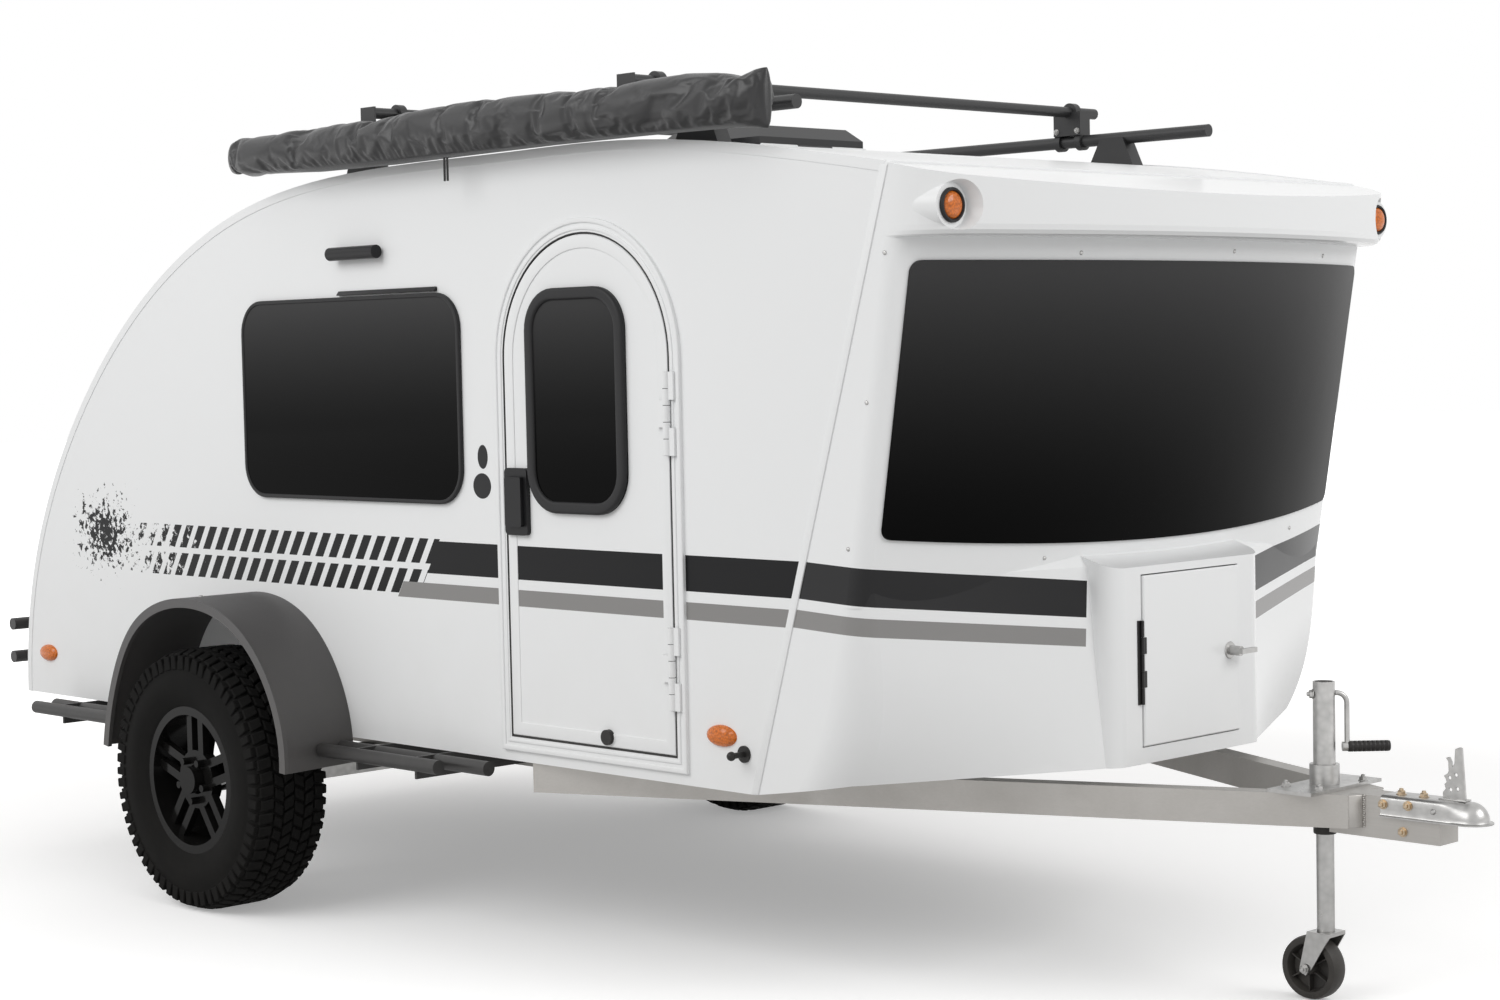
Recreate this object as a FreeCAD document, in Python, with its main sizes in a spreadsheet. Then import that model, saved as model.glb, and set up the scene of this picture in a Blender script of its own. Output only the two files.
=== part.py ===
import FreeCAD, Part
import math
import os
import Sketcher

# A teardrop travel trailer on one axle, with a side door, a bowed front window, a nose locker,
# a roof rack with a rolled awning, and a jack with a caster.
# Millimetres. While it is drawn, x = 0 is the axle, +X is forwards, +Y is the left side, z = 0 is
# the ground. At the end every piece is moved so that the origin is midway along the length.

# Driving sizes
sizes = {
    # cabin
    "body_half_width": 908,
    "wall": 38,
    "floor_height": 500,
    "roof_height": 2044,
    "rear_reach": 1286,
    "seam_foot": 2023,
    "seam_lean": 17.2,
    "fit_gap": 0.3,
    "overrun": 60,
    # front cap
    "cap_wall": 25,
    "cap_waist_height": 1012,
    "cap_shoulder_x": 2365,
    "cap_front_x": 2530,
    "cap_front_foot_x": 2578,
    "cap_front_half_width": 300,
    "cap_foot_radius": 150,
    "cap_foot_radius_loss": 100,
    "cap_foot_rise": 40,
    "cap_foot_run": 260,
    "cap_ledge": 32,
    "cap_ledge_run": 24,
    "cap_band_run": 22,
    "cap_sill_front": 2377,
    "cap_head_reach": 76,
    "cap_bow": 155,
    "cap_front_bow": 12,
    "cap_corner_radius": 44,
    "brow_overhang": 92,
    "brow_depth": 269,
    "brow_top_slope": 13,
    "brow_corner_radius": 150,
    "brow_round": 24,
    "windshield_inset": 40,
    "windshield_sill": 1106,
    "windshield_sill_drop": 42,
    "windshield_head_gap": 51,
    "windshield_corner": 26,
    "windshield_glass": 6,
    "windshield_gap": 0.5,
    "windshield_lap": 28,
    "lamp_stand": 6,
    "lamp_inset": 74,
    "lamp_drop": 204,
    "lamp_radius": 37.5,
    "lamp_depth": 22,
    "lamp_lens_radius": 31,
    "blister_length": 150,
    "blister_rim": 12,
    "blister_tip_radius": 8,
    "blister_tip_inset": 26,
    "lamp_scoop": 28,
    "lamp_scoop_depth": 45,
    # nose locker
    "nose_front": 2600,
    "nose_half_width": 300,
    "nose_root_half_width": 306,
    "nose_root": 2480,
    "nose_bottom": 540,
    "nose_top": 1008,
    "nose_top_slope": 18,
    "nose_corner": 50,
    "nose_door_half_width": 190,
    "nose_door_bottom": 582,
    "nose_door_top": 986,
    "nose_door_proud": 6,
    "nose_door_gap": 3,
    "nose_door_corner": 18,
    "nose_hinge_radius": 4,
    "nose_hinge_pin_radius": 1.5,
    "nose_hinge_bottom": 682,
    "nose_hinge_top": 881,
    "nose_hinge_leaf": 13,
    "nose_hinge_leaf_thick": 2,
    "nose_latch_y": 150,
    "nose_latch_z": 780,
    "nose_latch_radius": 12,
    "nose_latch_reach": 34,
    "nose_latch_grip": 62,
    # side windows
    "window_rear": -13,
    "window_front": 968,
    "window_sill": 1152,
    "window_head": 1700,
    "window_corner": 92,
    "window_rim": 26,
    "window_proud": 9,
    "window_pane": 6,
    "window_ring": 22,
    # entry door
    "door_rear": 1108,
    "door_front": 1800,
    "door_foot": 528,
    "door_head": 1868,
    "door_flange": 25,
    "door_flange_thick": 6,
    "door_lining": 12,
    "door_gap": 3,
    "door_leaf_proud": 4,
    "door_leaf": 34,
    "door_window_rear": 1244,
    "door_window_front": 1610,
    "door_window_sill": 1140,
    "door_window_head": 1698,
    "door_window_corner": 105,
    "door_window_rim": 30,
    "door_window_proud": 9,
    "hinge_radius": 7,
    "hinge_stand": 9,
    "hinge_low": 678,
    "hinge_high": 1288,
    "hinge_height": 200,
    "hinge_strap": 26,
    "hinge_strap_thick": 3,
    "hinge_pin_radius": 3,
    "hinge_play": 1,
    "handle_rear": 1150,
    "handle_front": 1237,
    "handle_bottom": 1080,
    "handle_top": 1250,
    "handle_proud": 12,
    "handle_paddle": 22,
    "socket_x": 1518,
    "socket_z": 593,
    "socket_radius": 19,
    "socket_proud": 13,
    "holdback_x": 1989,
    "holdback_base_radius": 20,
    "holdback_base": 5,
    "holdback_stem_radius": 7,
    "holdback_reach": 44,
    "holdback_ball_radius": 11,
    # wheels
    "tyre_radius": 366.8,
    "tyre_half_width": 116,
    "wheel_stand": 138,
    "bead_radius": 190.5,
    "rim_flange_radius": 207,
    "rim_flange": 7,
    "rim_half_width": 100,
    "rim_barrel": 7,
    "rim_spoke_width": 24,
    "rim_spoke_spread": 27,
    "rim_spoke_depth": 22,
    "rim_face_inset": 12,
    "rim_pad_radius": 82,
    "rim_pad": 22,
    "rim_pad_offset": 55,
    "hub_bore_radius": 42,
    "hub_cap_radius": 38,
    "hub_cap_reach": 30,
    "lug_circle_radius": 60,
    "lug_radius": 10,
    "lug_height": 22,
    "drum_radius": 127,
    "drum_width": 62,
    "drum_flange": 10,
    "spindle_radius": 20,
    # axle and frame
    "axle_beam": 76,
    "axle_lead": 140,
    "axle_inset": 108,
    "arm_thick": 38,
    "arm_depth": 70,
    "backing_plate_radius": 130,
    "backing_plate": 4,
    "running_gap": 6,
    "rail_height": 76,
    "rail_width": 50,
    "frame_rail_inset": 308,
    "frame_rear_inset": 46,
    "cross_member_width": 50,
    "tongue_rear": 1200,
    "tongue_rear_inset": 28,
    "tongue_front": 3075,
    "tongue_front_y": 50,
    "tongue_tube_rear": 3012,
    "tongue_tube_front": 3300,
    "tongue_tube_half_width": 38,
    "tongue_tube_height": 96,
    # coupler
    "coupler_rear": 3150,
    "coupler_ball_x": 3357,
    "coupler_skin": 4,
    "coupler_depth": 45,
    "coupler_socket_radius": 25.6,
    "coupler_socket_depth": 34,
    "coupler_nose_radius": 40,
    "coupler_lip": 10,
    "latch_rear": 3292,
    "latch_length": 52,
    "latch_height": 120,
    "latch_thick": 5,
    # jack
    "jack_x": 2975,
    "jack_tube_radius": 25.4,
    "jack_tube_bottom": 405,
    "jack_tube_top": 745,
    "jack_leg_radius": 20.5,
    "jack_leg_wall": 3,
    "jack_leg_bottom": 164,
    "jack_leg_top": 545,
    "jack_foot": 18,
    "jack_plate": 8,
    "jack_plate_length": 120,
    "jack_collar": 9,
    "jack_collar_height": 46,
    "crank_turn": 45,
    "crank_z": 718,
    "crank_radius": 6,
    "crank_bend": 24,
    "crank_out": 3,
    "crank_drop": 125,
    "crank_grip_radius": 11,
    "crank_grip": 96,
    "caster_radius": 75,
    "caster_half_width": 25,
    "caster_trail": 35,
    "caster_hub_radius": 16,
    "caster_axle_radius": 6,
    "caster_clearance": 5,
    "fork_skin": 4,
    "fork_plate": 9,
    "kingpin_radius": 8,
    "kingpin_height": 14,
    # fenders, side tubes and bumper
    "fender_reach": 252,
    "fender_skin": 5,
    "fender_rear": 425,
    "fender_front": 486,
    "fender_bottom": 431,
    "fender_top": 878,
    "fender_flare": 36,
    "fender_lip": 26,
    "fender_lip_width": 12,
    "tube_radius": 19,
    "side_tube_z": 481,
    "side_tube_outer": 122,
    "side_tube_inner": 54,
    "side_tube_rear": 476,
    "side_tube_front": 985,
    "side_tube_step": 120,
    "rear_tube_inset": 261,
    "rear_tube_front": -520,
    "outrigger_thick": 8,
    "outrigger_depth": 58,
    "bumper_stand": 90,
    "bumper_high": 708,
    "bumper_low": 603,
    "bumper_post_y": 480,
    "bumper_post": 40,
    # roof rack and awning
    "rack_tube_radius": 17,
    "rack_bar_radius": 15,
    "rack_inset": 111,
    "rack_rise": 62,
    "rack_rear": 330,
    "rack_front": 2092,
    "bar_rise": 146,
    "bar_rear_x": 586,
    "bar_front_x": 1618,
    "bar_inset": 9,
    "foot_length_bottom": 150,
    "foot_length_top": 78,
    "foot_width": 46,
    "foot_rear_x": 440,
    "foot_front_x": 1776,
    "saddle_length": 96,
    "saddle_width": 44,
    "clamp_width": 20,
    "clamp_radius": 25,
    "clamp_spread": 37,
    "collar_radius": 26,
    "collar_width": 22,
    "awning_rear": 30,
    "awning_front": 2175,
    "awning_stand": 58,
    "awning_rise": 58,
    "awning_half_height": 70,
    "awning_half_depth": 64,
    "awning_end_share_length": 70,
    "bracket_thick": 6,
    "bracket_width": 60,
    # roof vent
    "vent_x": 1165,
    "vent_half": 200,
    "vent_hole_half": 178,
    "vent_curb": 30,
    "vent_lid_height": 55,
    "vent_lid_skin": 6,
    "vent_lid_gap": 6,
    "vent_hinge_radius": 6,
    "vent_hinge_pin_radius": 2.5,
    # lamps and fittings
    "marker_front_x": 1914,
    "marker_rear_inset": 135,
    "marker_z": 630,
    "marker_half_length": 50,
    "marker_half_height": 26,
    "marker_depth": 16,
    "tail_lamp_inset": 208,
    "tail_lamp_z": 860,
    "tail_lamp_half_width": 75,
    "tail_lamp_half_height": 35,
    "tail_lamp_depth": 28,
    "porch_x": 545,
    "porch_drop": 226,
    "porch_half_length": 104,
    "porch_radius": 18,
    "porch_base": 6,
}

doc = FreeCAD.newDocument("TeardropTrailer")
sheet = doc.addObject("Spreadsheet::Sheet", "Sizes")
for row, (alias, number) in enumerate(sizes.items(), start=1):
    sheet.set("A%d" % row, alias)
    sheet.set("B%d" % row, str(number))
    sheet.setAlias("B%d" % row, alias)
doc.recompute()


# Bound sizes: a value together with the sheet expression that it comes from
class Size:
    def __init__(self, value, text):
        self.value = float(value)
        self.text = text

    def __add__(self, other):
        other = as_size(other)
        return Size(self.value + other.value, "(%s + %s)" % (self.text, other.text))

    def __sub__(self, other):
        other = as_size(other)
        return Size(self.value - other.value, "(%s - %s)" % (self.text, other.text))

    def __mul__(self, share):
        share = as_size(share)
        return Size(self.value * share.value, "(%s * %s)" % (self.text, share.text))

    def __truediv__(self, share):
        share = as_size(share)
        return Size(self.value / share.value, "(%s / %s)" % (self.text, share.text))

    def __neg__(self):
        return Size(-self.value, "(0 - %s)" % self.text)

    __radd__ = __add__
    __rmul__ = __mul__

    def __rsub__(self, other):
        return as_size(other) - self


def as_size(number):
    if isinstance(number, Size):
        return number
    return Size(number, "(%.9g)" % number)


class SheetSizes:
    def __getattr__(self, alias):
        return Size(sizes[alias], "Sizes." + alias)


S = SheetSizes()


def value(number):
    return as_size(number).value


def vec(x, y, z):
    return FreeCAD.Vector(value(x), value(y), value(z))


def bind(part, **properties):
    for name, size in properties.items():
        part.setExpression(name, as_size(size).text)
    return part


def place(part, x, y, z, rotation=None):
    if rotation:
        part.Placement = FreeCAD.Placement(vec(0, 0, 0), rotation)
    for axis, size in zip("xyz", (x, y, z)):
        part.setExpression("Placement.Base." + axis, as_size(size).text)
    return part


# Ways of making a piece
def block(name, x, y, z, length, width, height):
    part = doc.addObject("Part::Box", name)
    bind(part, Length=length, Width=width, Height=height)
    return place(part, x, y, z)


AXIS_TURN = {
    "x": FreeCAD.Rotation(FreeCAD.Vector(0, 1, 0), 90),
    "y": FreeCAD.Rotation(FreeCAD.Vector(1, 0, 0), -90),
    "z": FreeCAD.Rotation(),
}


def rod(name, x, y, z, axis, length, radius):
    part = doc.addObject("Part::Cylinder", name)
    bind(part, Radius=radius, Height=length)
    return place(part, x, y, z, AXIS_TURN[axis])


def fuse(name, parts):
    part = doc.addObject("Part::MultiFuse", name)
    part.Shapes = parts
    return part


def group(name, parts):
    part = doc.addObject("Part::Compound", name)
    part.Links = parts
    return part


def cut(name, base, tools):
    tool = tools[0] if len(tools) == 1 else fuse(name + "_tools", tools)
    part = doc.addObject("Part::Cut", name)
    part.Base = base
    part.Tool = tool
    return part


def feature(name, shape):
    part = doc.addObject("Part::Feature", name)
    part.Shape = shape
    return part


def outline_sketch(body, role, points, offset=0):
    """A closed outline of straight lines, each corner held by two distances from the origin."""
    sketch = body.newObject("Sketcher::SketchObject", body.Name + "_outline")
    plane = [f for f in body.Origin.OriginFeatures if f.Role == role][0]
    sketch.AttachmentSupport = (plane, [""])
    sketch.MapMode = "FlatFace"
    sketch.setExpression("AttachmentOffset.Base.z", as_size(offset).text)
    corners = [FreeCAD.Vector(value(a), value(b), 0) for a, b in points]
    count = len(corners)
    for i in range(count):
        sketch.addGeometry(Part.LineSegment(corners[i], corners[(i + 1) % count]), False)
    for i in range(count):
        sketch.addConstraint(Sketcher.Constraint("Coincident", i, 2, (i + 1) % count, 1))
    for i, (a, b) in enumerate(points):
        for kind, size in (("DistanceX", a), ("DistanceY", b)):
            if value(size):
                index = sketch.addConstraint(Sketcher.Constraint(kind, -1, 1, i, 1, value(size)))
                sketch.setExpression("Constraints[%d]" % index, as_size(size).text)
            else:
                other = -2 if kind == "DistanceX" else -1
                sketch.addConstraint(Sketcher.Constraint("PointOnObject", i, 1, other))
    return sketch


def padded(name, role, points, length, offset=0, symmetric=False):
    """A body made by padding a closed outline."""
    body = doc.addObject("PartDesign::Body", name)
    sketch = outline_sketch(body, role, points, offset)
    pad = body.newObject("PartDesign::Pad", name + "_pad")
    pad.Profile = sketch
    pad.setExpression("Length", as_size(length).text)
    pad.SideType = "Symmetric" if symmetric else "One side"
    body.Tip = pad
    return body


def revolved(name, points, y):
    """A body turned about a line along Y through the axle's height, from (distance along Y, radius)."""
    body = doc.addObject("PartDesign::Body", name)
    sketch = outline_sketch(body, "YZ_Plane", points)
    turn = body.newObject("PartDesign::Revolution", name + "_turn")
    turn.Profile = sketch
    turn.ReferenceAxis = (sketch, ["H_Axis"])
    turn.Angle = 360
    body.Tip = turn
    return place(body, 0, y, S.tyre_radius)


kept = {}


def keep(node, part):
    """Name a finished sub-part and stand it in the frame of the whole trailer."""
    if part.TypeId == "Part::Feature":
        part.Placement = FreeCAD.Placement(vec(middle_shift, 0, 0), FreeCAD.Rotation())
    elif part.TypeId in ("Part::Box", "Part::Cylinder") or part.getPropertyByName("Placement").Base.Length:
        part = group(node + "_set", [part])
        place(part, middle_shift, 0, 0)
    else:
        place(part, middle_shift, 0, 0)
    part.Label = node
    kept[node] = part
    return part


# Places that follow the size of the cabin
wheel_line = S.body_half_width + S.wheel_stand
axle_half_width = S.body_half_width - S.axle_inset
frame_rail_y = S.body_half_width - S.frame_rail_inset
frame_rear = S.rear_reach - S.frame_rear_inset
tongue_rear_y = S.body_half_width - S.tongue_rear_inset
fender_y = S.body_half_width + S.fender_reach
side_tube_outer_y = S.body_half_width + S.side_tube_outer
side_tube_inner_y = S.body_half_width + S.side_tube_inner
rear_tube_rear = S.rear_tube_inset - S.rear_reach
bumper_x = -(S.rear_reach + S.bumper_stand)
rack_y = S.body_half_width - S.rack_inset
rack_z = S.roof_height + S.rack_rise
bar_z = S.roof_height + S.bar_rise
bar_half_length = S.body_half_width - S.bar_inset
awning_y = S.body_half_width + S.awning_stand
awning_z = S.roof_height + S.awning_rise
marker_rear_x = S.marker_rear_inset - S.rear_reach
tail_lamp_y = S.body_half_width - S.tail_lamp_inset
porch_z = S.roof_height - S.porch_drop
brow_underside = S.roof_height - S.brow_depth
windshield_half_width = S.body_half_width - S.windshield_inset
windshield_head = brow_underside - S.windshield_head_gap
lamp_y = S.body_half_width - S.lamp_inset
lamp_z = S.roof_height - S.lamp_drop

front_reach = S.coupler_ball_x + S.coupler_nose_radius + S.coupler_lip
back_reach = S.tube_radius - bumper_x
middle_shift = (back_reach - front_reach) / 2

# Lines of the cabin, seen from the side
roof_line_shares = [
    (0, 0), (0.0365, 0.3685), (0.1119, 0.6205), (0.2128, 0.8174), (0.3234, 0.9359),
    (0.4646, 0.9909), (0.65, 1), (0.8346, 0.9877), (1, 0.9288), (1.04, 0.9127),
]
roof_length = S.rear_reach + S.seam_foot + (S.roof_height - S.floor_height) * math.tan(
    math.radians(sizes["seam_lean"]))
roof_rise = S.roof_height - S.floor_height


def inset_curve(curve, inset, side):
    """The curve beside a plane curve, at the distance inset on the given side of its tangent."""
    knots = curve.getKnots()
    places = sorted(knots + [(a + b) / 2 for a, b in zip(knots, knots[1:])])
    moved = []
    for place_on_curve in places:
        tangent = curve.tangent(place_on_curve)[0]
        moved.append(curve.value(place_on_curve) + side(tangent) * value(inset))
    beside = Part.BSplineCurve()
    beside.interpolate(Points=moved)
    return beside


def roof_line(inset=0):
    points = [vec(roof_length * along - S.rear_reach, 0, S.floor_height + roof_rise * up)
              for along, up in roof_line_shares]
    curve = Part.BSplineCurve()
    curve.interpolate(Points=points, InitialTangent=FreeCAD.Vector(0, 0, 1),
                      FinalTangent=(points[-1] - points[-2]).normalize())
    if value(inset):
        curve = inset_curve(curve, inset, lambda t: FreeCAD.Vector(t.z, 0, -t.x))
    return curve


def roof_height_at(x):
    """Height of the outer roof surface at x, by cutting its line with an upright one."""
    upright = Part.LineSegment(vec(x, 0, S.floor_height), vec(x, 0, S.roof_height + S.overrun))
    hits = roof_line().intersectCC(upright)
    return max(hit.Z for hit in hits)


def seam_x(z):
    return S.seam_foot + (as_size(z) - S.floor_height) * math.tan(math.radians(sizes["seam_lean"]))


cap_head_front = seam_x(brow_underside) + S.cap_head_reach
brow_end = cap_head_front + S.brow_overhang
lamp_x = brow_end + S.lamp_stand
seam_turn = FreeCAD.Rotation(FreeCAD.Vector(0, 1, 0), sizes["seam_lean"])


def seam_side(side):
    """Everything before or behind the slanted joint between the cabin and its front cap."""
    far = Part.makeBox(value(S.rear_reach), value(S.body_half_width * 3), value(S.roof_height * 2),
                       vec(S.rear_reach * (side - 1) / 2, -S.body_half_width * 1.5, -S.roof_height / 2))
    far.Placement = FreeCAD.Placement(vec(S.seam_foot, 0, S.floor_height), seam_turn).multiply(far.Placement)
    return far


def polygon(points):
    return Part.makePolygon([vec(*p) for p in points] + [vec(*points[0])])


def rounded_plate(x0, x1, z0, z1, radius, y0, y1):
    """A plate with round corners, upright along X, from y0 to y1."""
    plate = Part.makeBox(value(x1 - x0), value(y1 - y0), value(z1 - z0), vec(x0, y0, z0))
    upright = [e for e in plate.Edges if abs(e.tangentAt(e.FirstParameter).y) > 0.5]
    return plate.makeFillet(value(radius), upright)


def arched_plate(x0, x1, z0, z1, y0, y1):
    """A plate with a half-round head, upright along X, from y0 to y1."""
    radius = (x1 - x0) / 2
    low_left, low_right = vec(x0, y0, z0), vec(x1, y0, z0)
    left, right = vec(x0, y0, z1 - radius), vec(x1, y0, z1 - radius)
    head = Part.Arc(left, vec(x0 + radius, y0, z1), right).toShape()
    wire = Part.Wire([Part.makeLine(low_left, left), head, Part.makeLine(right, low_right),
                      Part.makeLine(low_right, low_left)])
    return Part.Face(wire).extrude(vec(0, y1 - y0, 0))


# Side walls
inner_y = S.body_half_width - S.wall
line = roof_line()
line_end = line.value(line.LastParameter)
wall_wire = Part.Wire([
    line.toShape(),
    Part.makeLine(line_end, vec(line_end.x, 0, S.floor_height)),
    Part.makeLine(vec(line_end.x, 0, S.floor_height), vec(-S.rear_reach, 0, S.floor_height)),
])
wall_slab = Part.Face(wall_wire).extrude(vec(0, S.wall, 0)).cut(seam_side(1))


def window_hole():
    return rounded_plate(S.window_rear + S.window_rim, S.window_front - S.window_rim,
                         S.window_sill + S.window_rim, S.window_head - S.window_rim,
                         S.window_corner - S.window_rim,
                         -S.body_half_width - S.overrun, -inner_y + S.overrun)


door_hole = arched_plate(S.door_rear + S.door_flange, S.door_front - S.door_flange,
                         S.door_foot + S.door_flange, S.door_head - S.door_flange,
                         -S.body_half_width - S.overrun, -inner_y + S.overrun)
right_slab = wall_slab.translated(vec(0, -S.body_half_width, 0))
right_wall = right_slab.cut(Part.makeCompound([window_hole(), door_hole]))
left_wall = right_slab.cut(window_hole()).mirror(FreeCAD.Vector(0, 0, 0), FreeCAD.Vector(0, 1, 0))
keep("side_wall_right", feature("wall_right", right_wall))
keep("side_wall_left", feature("wall_left", left_wall))

# Rear and roof, one bent sheet between the side walls
inner_line = roof_line(S.wall)
inner_end = inner_line.value(inner_line.LastParameter)
inner_start = inner_line.value(inner_line.FirstParameter)
roof_wire = Part.Wire([
    line.toShape(),
    Part.makeLine(line_end, inner_end),
    inner_line.toShape(),
    Part.makeLine(inner_start, vec(-S.rear_reach, 0, S.floor_height)),
])
roof_sheet = Part.Face(roof_wire).extrude(vec(0, inner_y * 2, 0)).translated(vec(0, -inner_y, 0))
vent_hole = Part.makeBox(value(S.vent_hole_half * 2), value(S.vent_hole_half * 2), value(S.roof_height),
                         vec(S.vent_x - S.vent_hole_half, -S.vent_hole_half, S.roof_height / 2))
roof_sheet = roof_sheet.cut(seam_side(1)).cut(vent_hole)
keep("roof_shell", feature("roof_sheet", roof_sheet))

# Floor
keep("floor", block("floor_slab", S.wall - S.rear_reach, -inner_y, S.floor_height,
                    S.rear_reach + S.seam_foot - S.wall, inner_y * 2, S.wall))


# Front cap: plans at rising heights, from the seam round to the middle of the front
brow_round_angles = (0, 30, 60, 90)
low_plan_shares = [(0, 0.60), (0.28, 0.84), (0.64, 0.96), (1, 1)]
blister_shares = [(0, 0), (0.3, 0.62), (0.65, 0.9), (1, 1)]


def plan(z, flank, bow, radius, inset):
    """A level outline with a bowed front. The flank is its half, from the back to the bow's end."""
    right = [vec(x, -y, z) for x, y in flank]
    left = [vec(x, y, z) for x, y in reversed(flank)]
    front = Part.Arc(right[-1], vec(flank[-1][0] + bow, 0, z), left[0]).toShape()
    edges = [Part.makeLine(a, b) for a, b in zip(right, right[1:])] + [front]
    edges += [Part.makeLine(a, b) for a, b in zip(left, left[1:] + right[:1])]
    prism = Part.Face(Part.Wire(edges)).extrude(vec(0, 0, S.overrun))
    upright = [e for e in prism.Edges if abs(e.tangentAt(e.FirstParameter).z) > 0.9
               and e.CenterOfMass.x > right[0].x + value(S.fit_gap)]
    prism = prism.makeFillet(value(radius), upright)
    foot = [f for f in prism.Faces if abs(f.CenterOfMass.z - value(z)) < value(S.fit_gap)][0]
    return foot.OuterWire.makeOffset2D(-value(inset)) if value(inset) else foot.OuterWire


def low_plan(z, shoulder_x, front_x, radius, inset):
    """Plan of the low part of the cap, where straight flanks run in towards the nose."""
    flank = [(seam_x(z) - S.overrun, S.body_half_width), (shoulder_x, S.body_half_width),
             (front_x, S.cap_front_half_width)]
    return plan(z, flank, S.cap_front_bow, radius, inset)


def band_plan(z, end, inset, height=None, radius=S.cap_corner_radius):
    """Plan of the upper part of the cap, square-shouldered with a bowed front."""
    flank = [(seam_x(z) - S.overrun, S.body_half_width), (end, S.body_half_width)]
    wire = plan(z, flank, S.cap_bow, radius, inset)
    if height is not None:
        wire.translate(vec(0, 0, height - z))
    return wire


def loft(wires, ruled=True):
    solid = Part.makeLoft(wires, True, ruled)
    if solid.Volume < 0:
        solid.reverse()
    return solid


def cap_band(inset):
    """The part of the cap that carries the front window."""
    low_z = S.cap_waist_height - S.overrun
    return loft([band_plan(low_z, S.cap_sill_front - S.cap_band_run, inset, low_z + inset),
                 band_plan(brow_underside, cap_head_front, inset)])


def cap_low(inset):
    """The part of the cap below the window, closed above by a slanted ledge."""
    waist = S.cap_waist_height
    plans = []
    for up, out in low_plan_shares:
        z = S.floor_height + (waist - S.floor_height) * up
        shoulder = seam_x(z) + (S.cap_shoulder_x - seam_x(z)) * out
        front = S.cap_front_foot_x + (S.cap_front_x - S.cap_front_foot_x) * up
        plans.append(low_plan(z, shoulder, front, S.cap_foot_radius - S.cap_foot_radius_loss * up, inset))
    plans[0].translate(vec(0, 0, inset))
    ledge = low_plan(waist + S.cap_ledge, S.cap_shoulder_x - S.cap_ledge_run, S.cap_front_x - S.cap_ledge_run,
                     S.cap_foot_radius - S.cap_foot_radius_loss, inset)
    ledge.translate(vec(0, 0, -inset))
    return loft(plans, False).fuse(loft([plans[-1], ledge]))


def cap_solid(inset):
    """The filled form of the cap, moved inwards by inset."""
    underside = brow_underside + inset
    brow_plans = []
    for degrees in brow_round_angles:
        back = S.brow_round * (1 - math.sin(math.radians(degrees)))
        rise = S.brow_round * (1 - math.cos(math.radians(degrees)))
        brow_plans.append(band_plan(brow_underside, brow_end - back, inset, underside + rise, S.brow_corner_radius))
    brow_plans.append(band_plan(S.roof_height, brow_end, inset, None, S.brow_corner_radius))
    parts = [cap_band(inset), loft(brow_plans)]
    if value(inset):
        parts.append(loft([band_plan(brow_underside, cap_head_front, inset),
                           band_plan(brow_underside, cap_head_front, inset, underside)]))
    return cap_low(inset).fuse(parts).cut([above_brow(inset), below_foot(inset)])


def above_brow(inset):
    """Everything above the sloped top of the brow."""
    start_x = seam_x(S.roof_height) - S.wall
    foot_z = roof_height_at(value(start_x))
    over = Part.makeBox(value(S.rear_reach), value(S.body_half_width * 3), value(S.rear_reach),
                        vec(-S.rear_reach / 2, -S.body_half_width * 1.5, 0))
    over.Placement = FreeCAD.Placement(
        vec(start_x, 0, foot_z - inset),
        FreeCAD.Rotation(FreeCAD.Vector(0, 1, 0), sizes["brow_top_slope"])).multiply(over.Placement)
    return over


def below_foot(inset):
    """Everything under the cap's bottom, which climbs from the seam and then runs level."""
    half = S.body_half_width * 1.5
    level = Part.makeBox(value(S.rear_reach), value(half * 2), value(S.roof_height),
                         vec(S.seam_foot - S.overrun, -half, S.floor_height + S.cap_foot_rise + inset - S.roof_height))
    climb = Part.makeBox(value(S.rear_reach * 2), value(half * 2), value(S.roof_height),
                         vec(-S.rear_reach, -half, -S.roof_height))
    climb.Placement = FreeCAD.Placement(
        vec(S.seam_foot, 0, S.floor_height + inset),
        FreeCAD.Rotation(FreeCAD.Vector(0, 1, 0), -math.degrees(math.atan2(
            sizes["cap_foot_rise"], sizes["cap_foot_run"])))).multiply(climb.Placement)
    return level.common(climb)


def nose_solid(inset):
    """The box that stands out of the cap below its window."""
    base_z = S.nose_bottom + inset
    plan = [(S.seam_foot, -S.nose_root_half_width + inset), (S.nose_root, -S.nose_root_half_width + inset),
            (S.nose_front - inset, -S.nose_half_width + inset), (S.nose_front - inset, S.nose_half_width - inset),
            (S.nose_root, S.nose_root_half_width - inset), (S.seam_foot, S.nose_root_half_width - inset)]
    prism = Part.Face(polygon([(x, y, base_z) for x, y in plan])).extrude(
        vec(0, 0, S.cap_waist_height + S.cap_ledge - inset - base_z))
    front_edges = [e for e in prism.Edges if abs(e.tangentAt(e.FirstParameter).z) > 0.9
                   and e.CenterOfMass.x > value(S.nose_front - inset - S.fit_gap)]
    prism = prism.makeFillet(value(S.nose_corner - inset), front_edges)
    lid = Part.makeBox(value(S.rear_reach), value(S.body_half_width * 2), value(S.rear_reach),
                       FreeCAD.Vector(value(-S.rear_reach / 2), value(-S.body_half_width), 0))
    lid.Placement = FreeCAD.Placement(
        vec(S.nose_front, 0, S.nose_top - inset),
        FreeCAD.Rotation(FreeCAD.Vector(0, 1, 0), sizes["nose_top_slope"])).multiply(lid.Placement)
    return prism.cut(lid)


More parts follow.
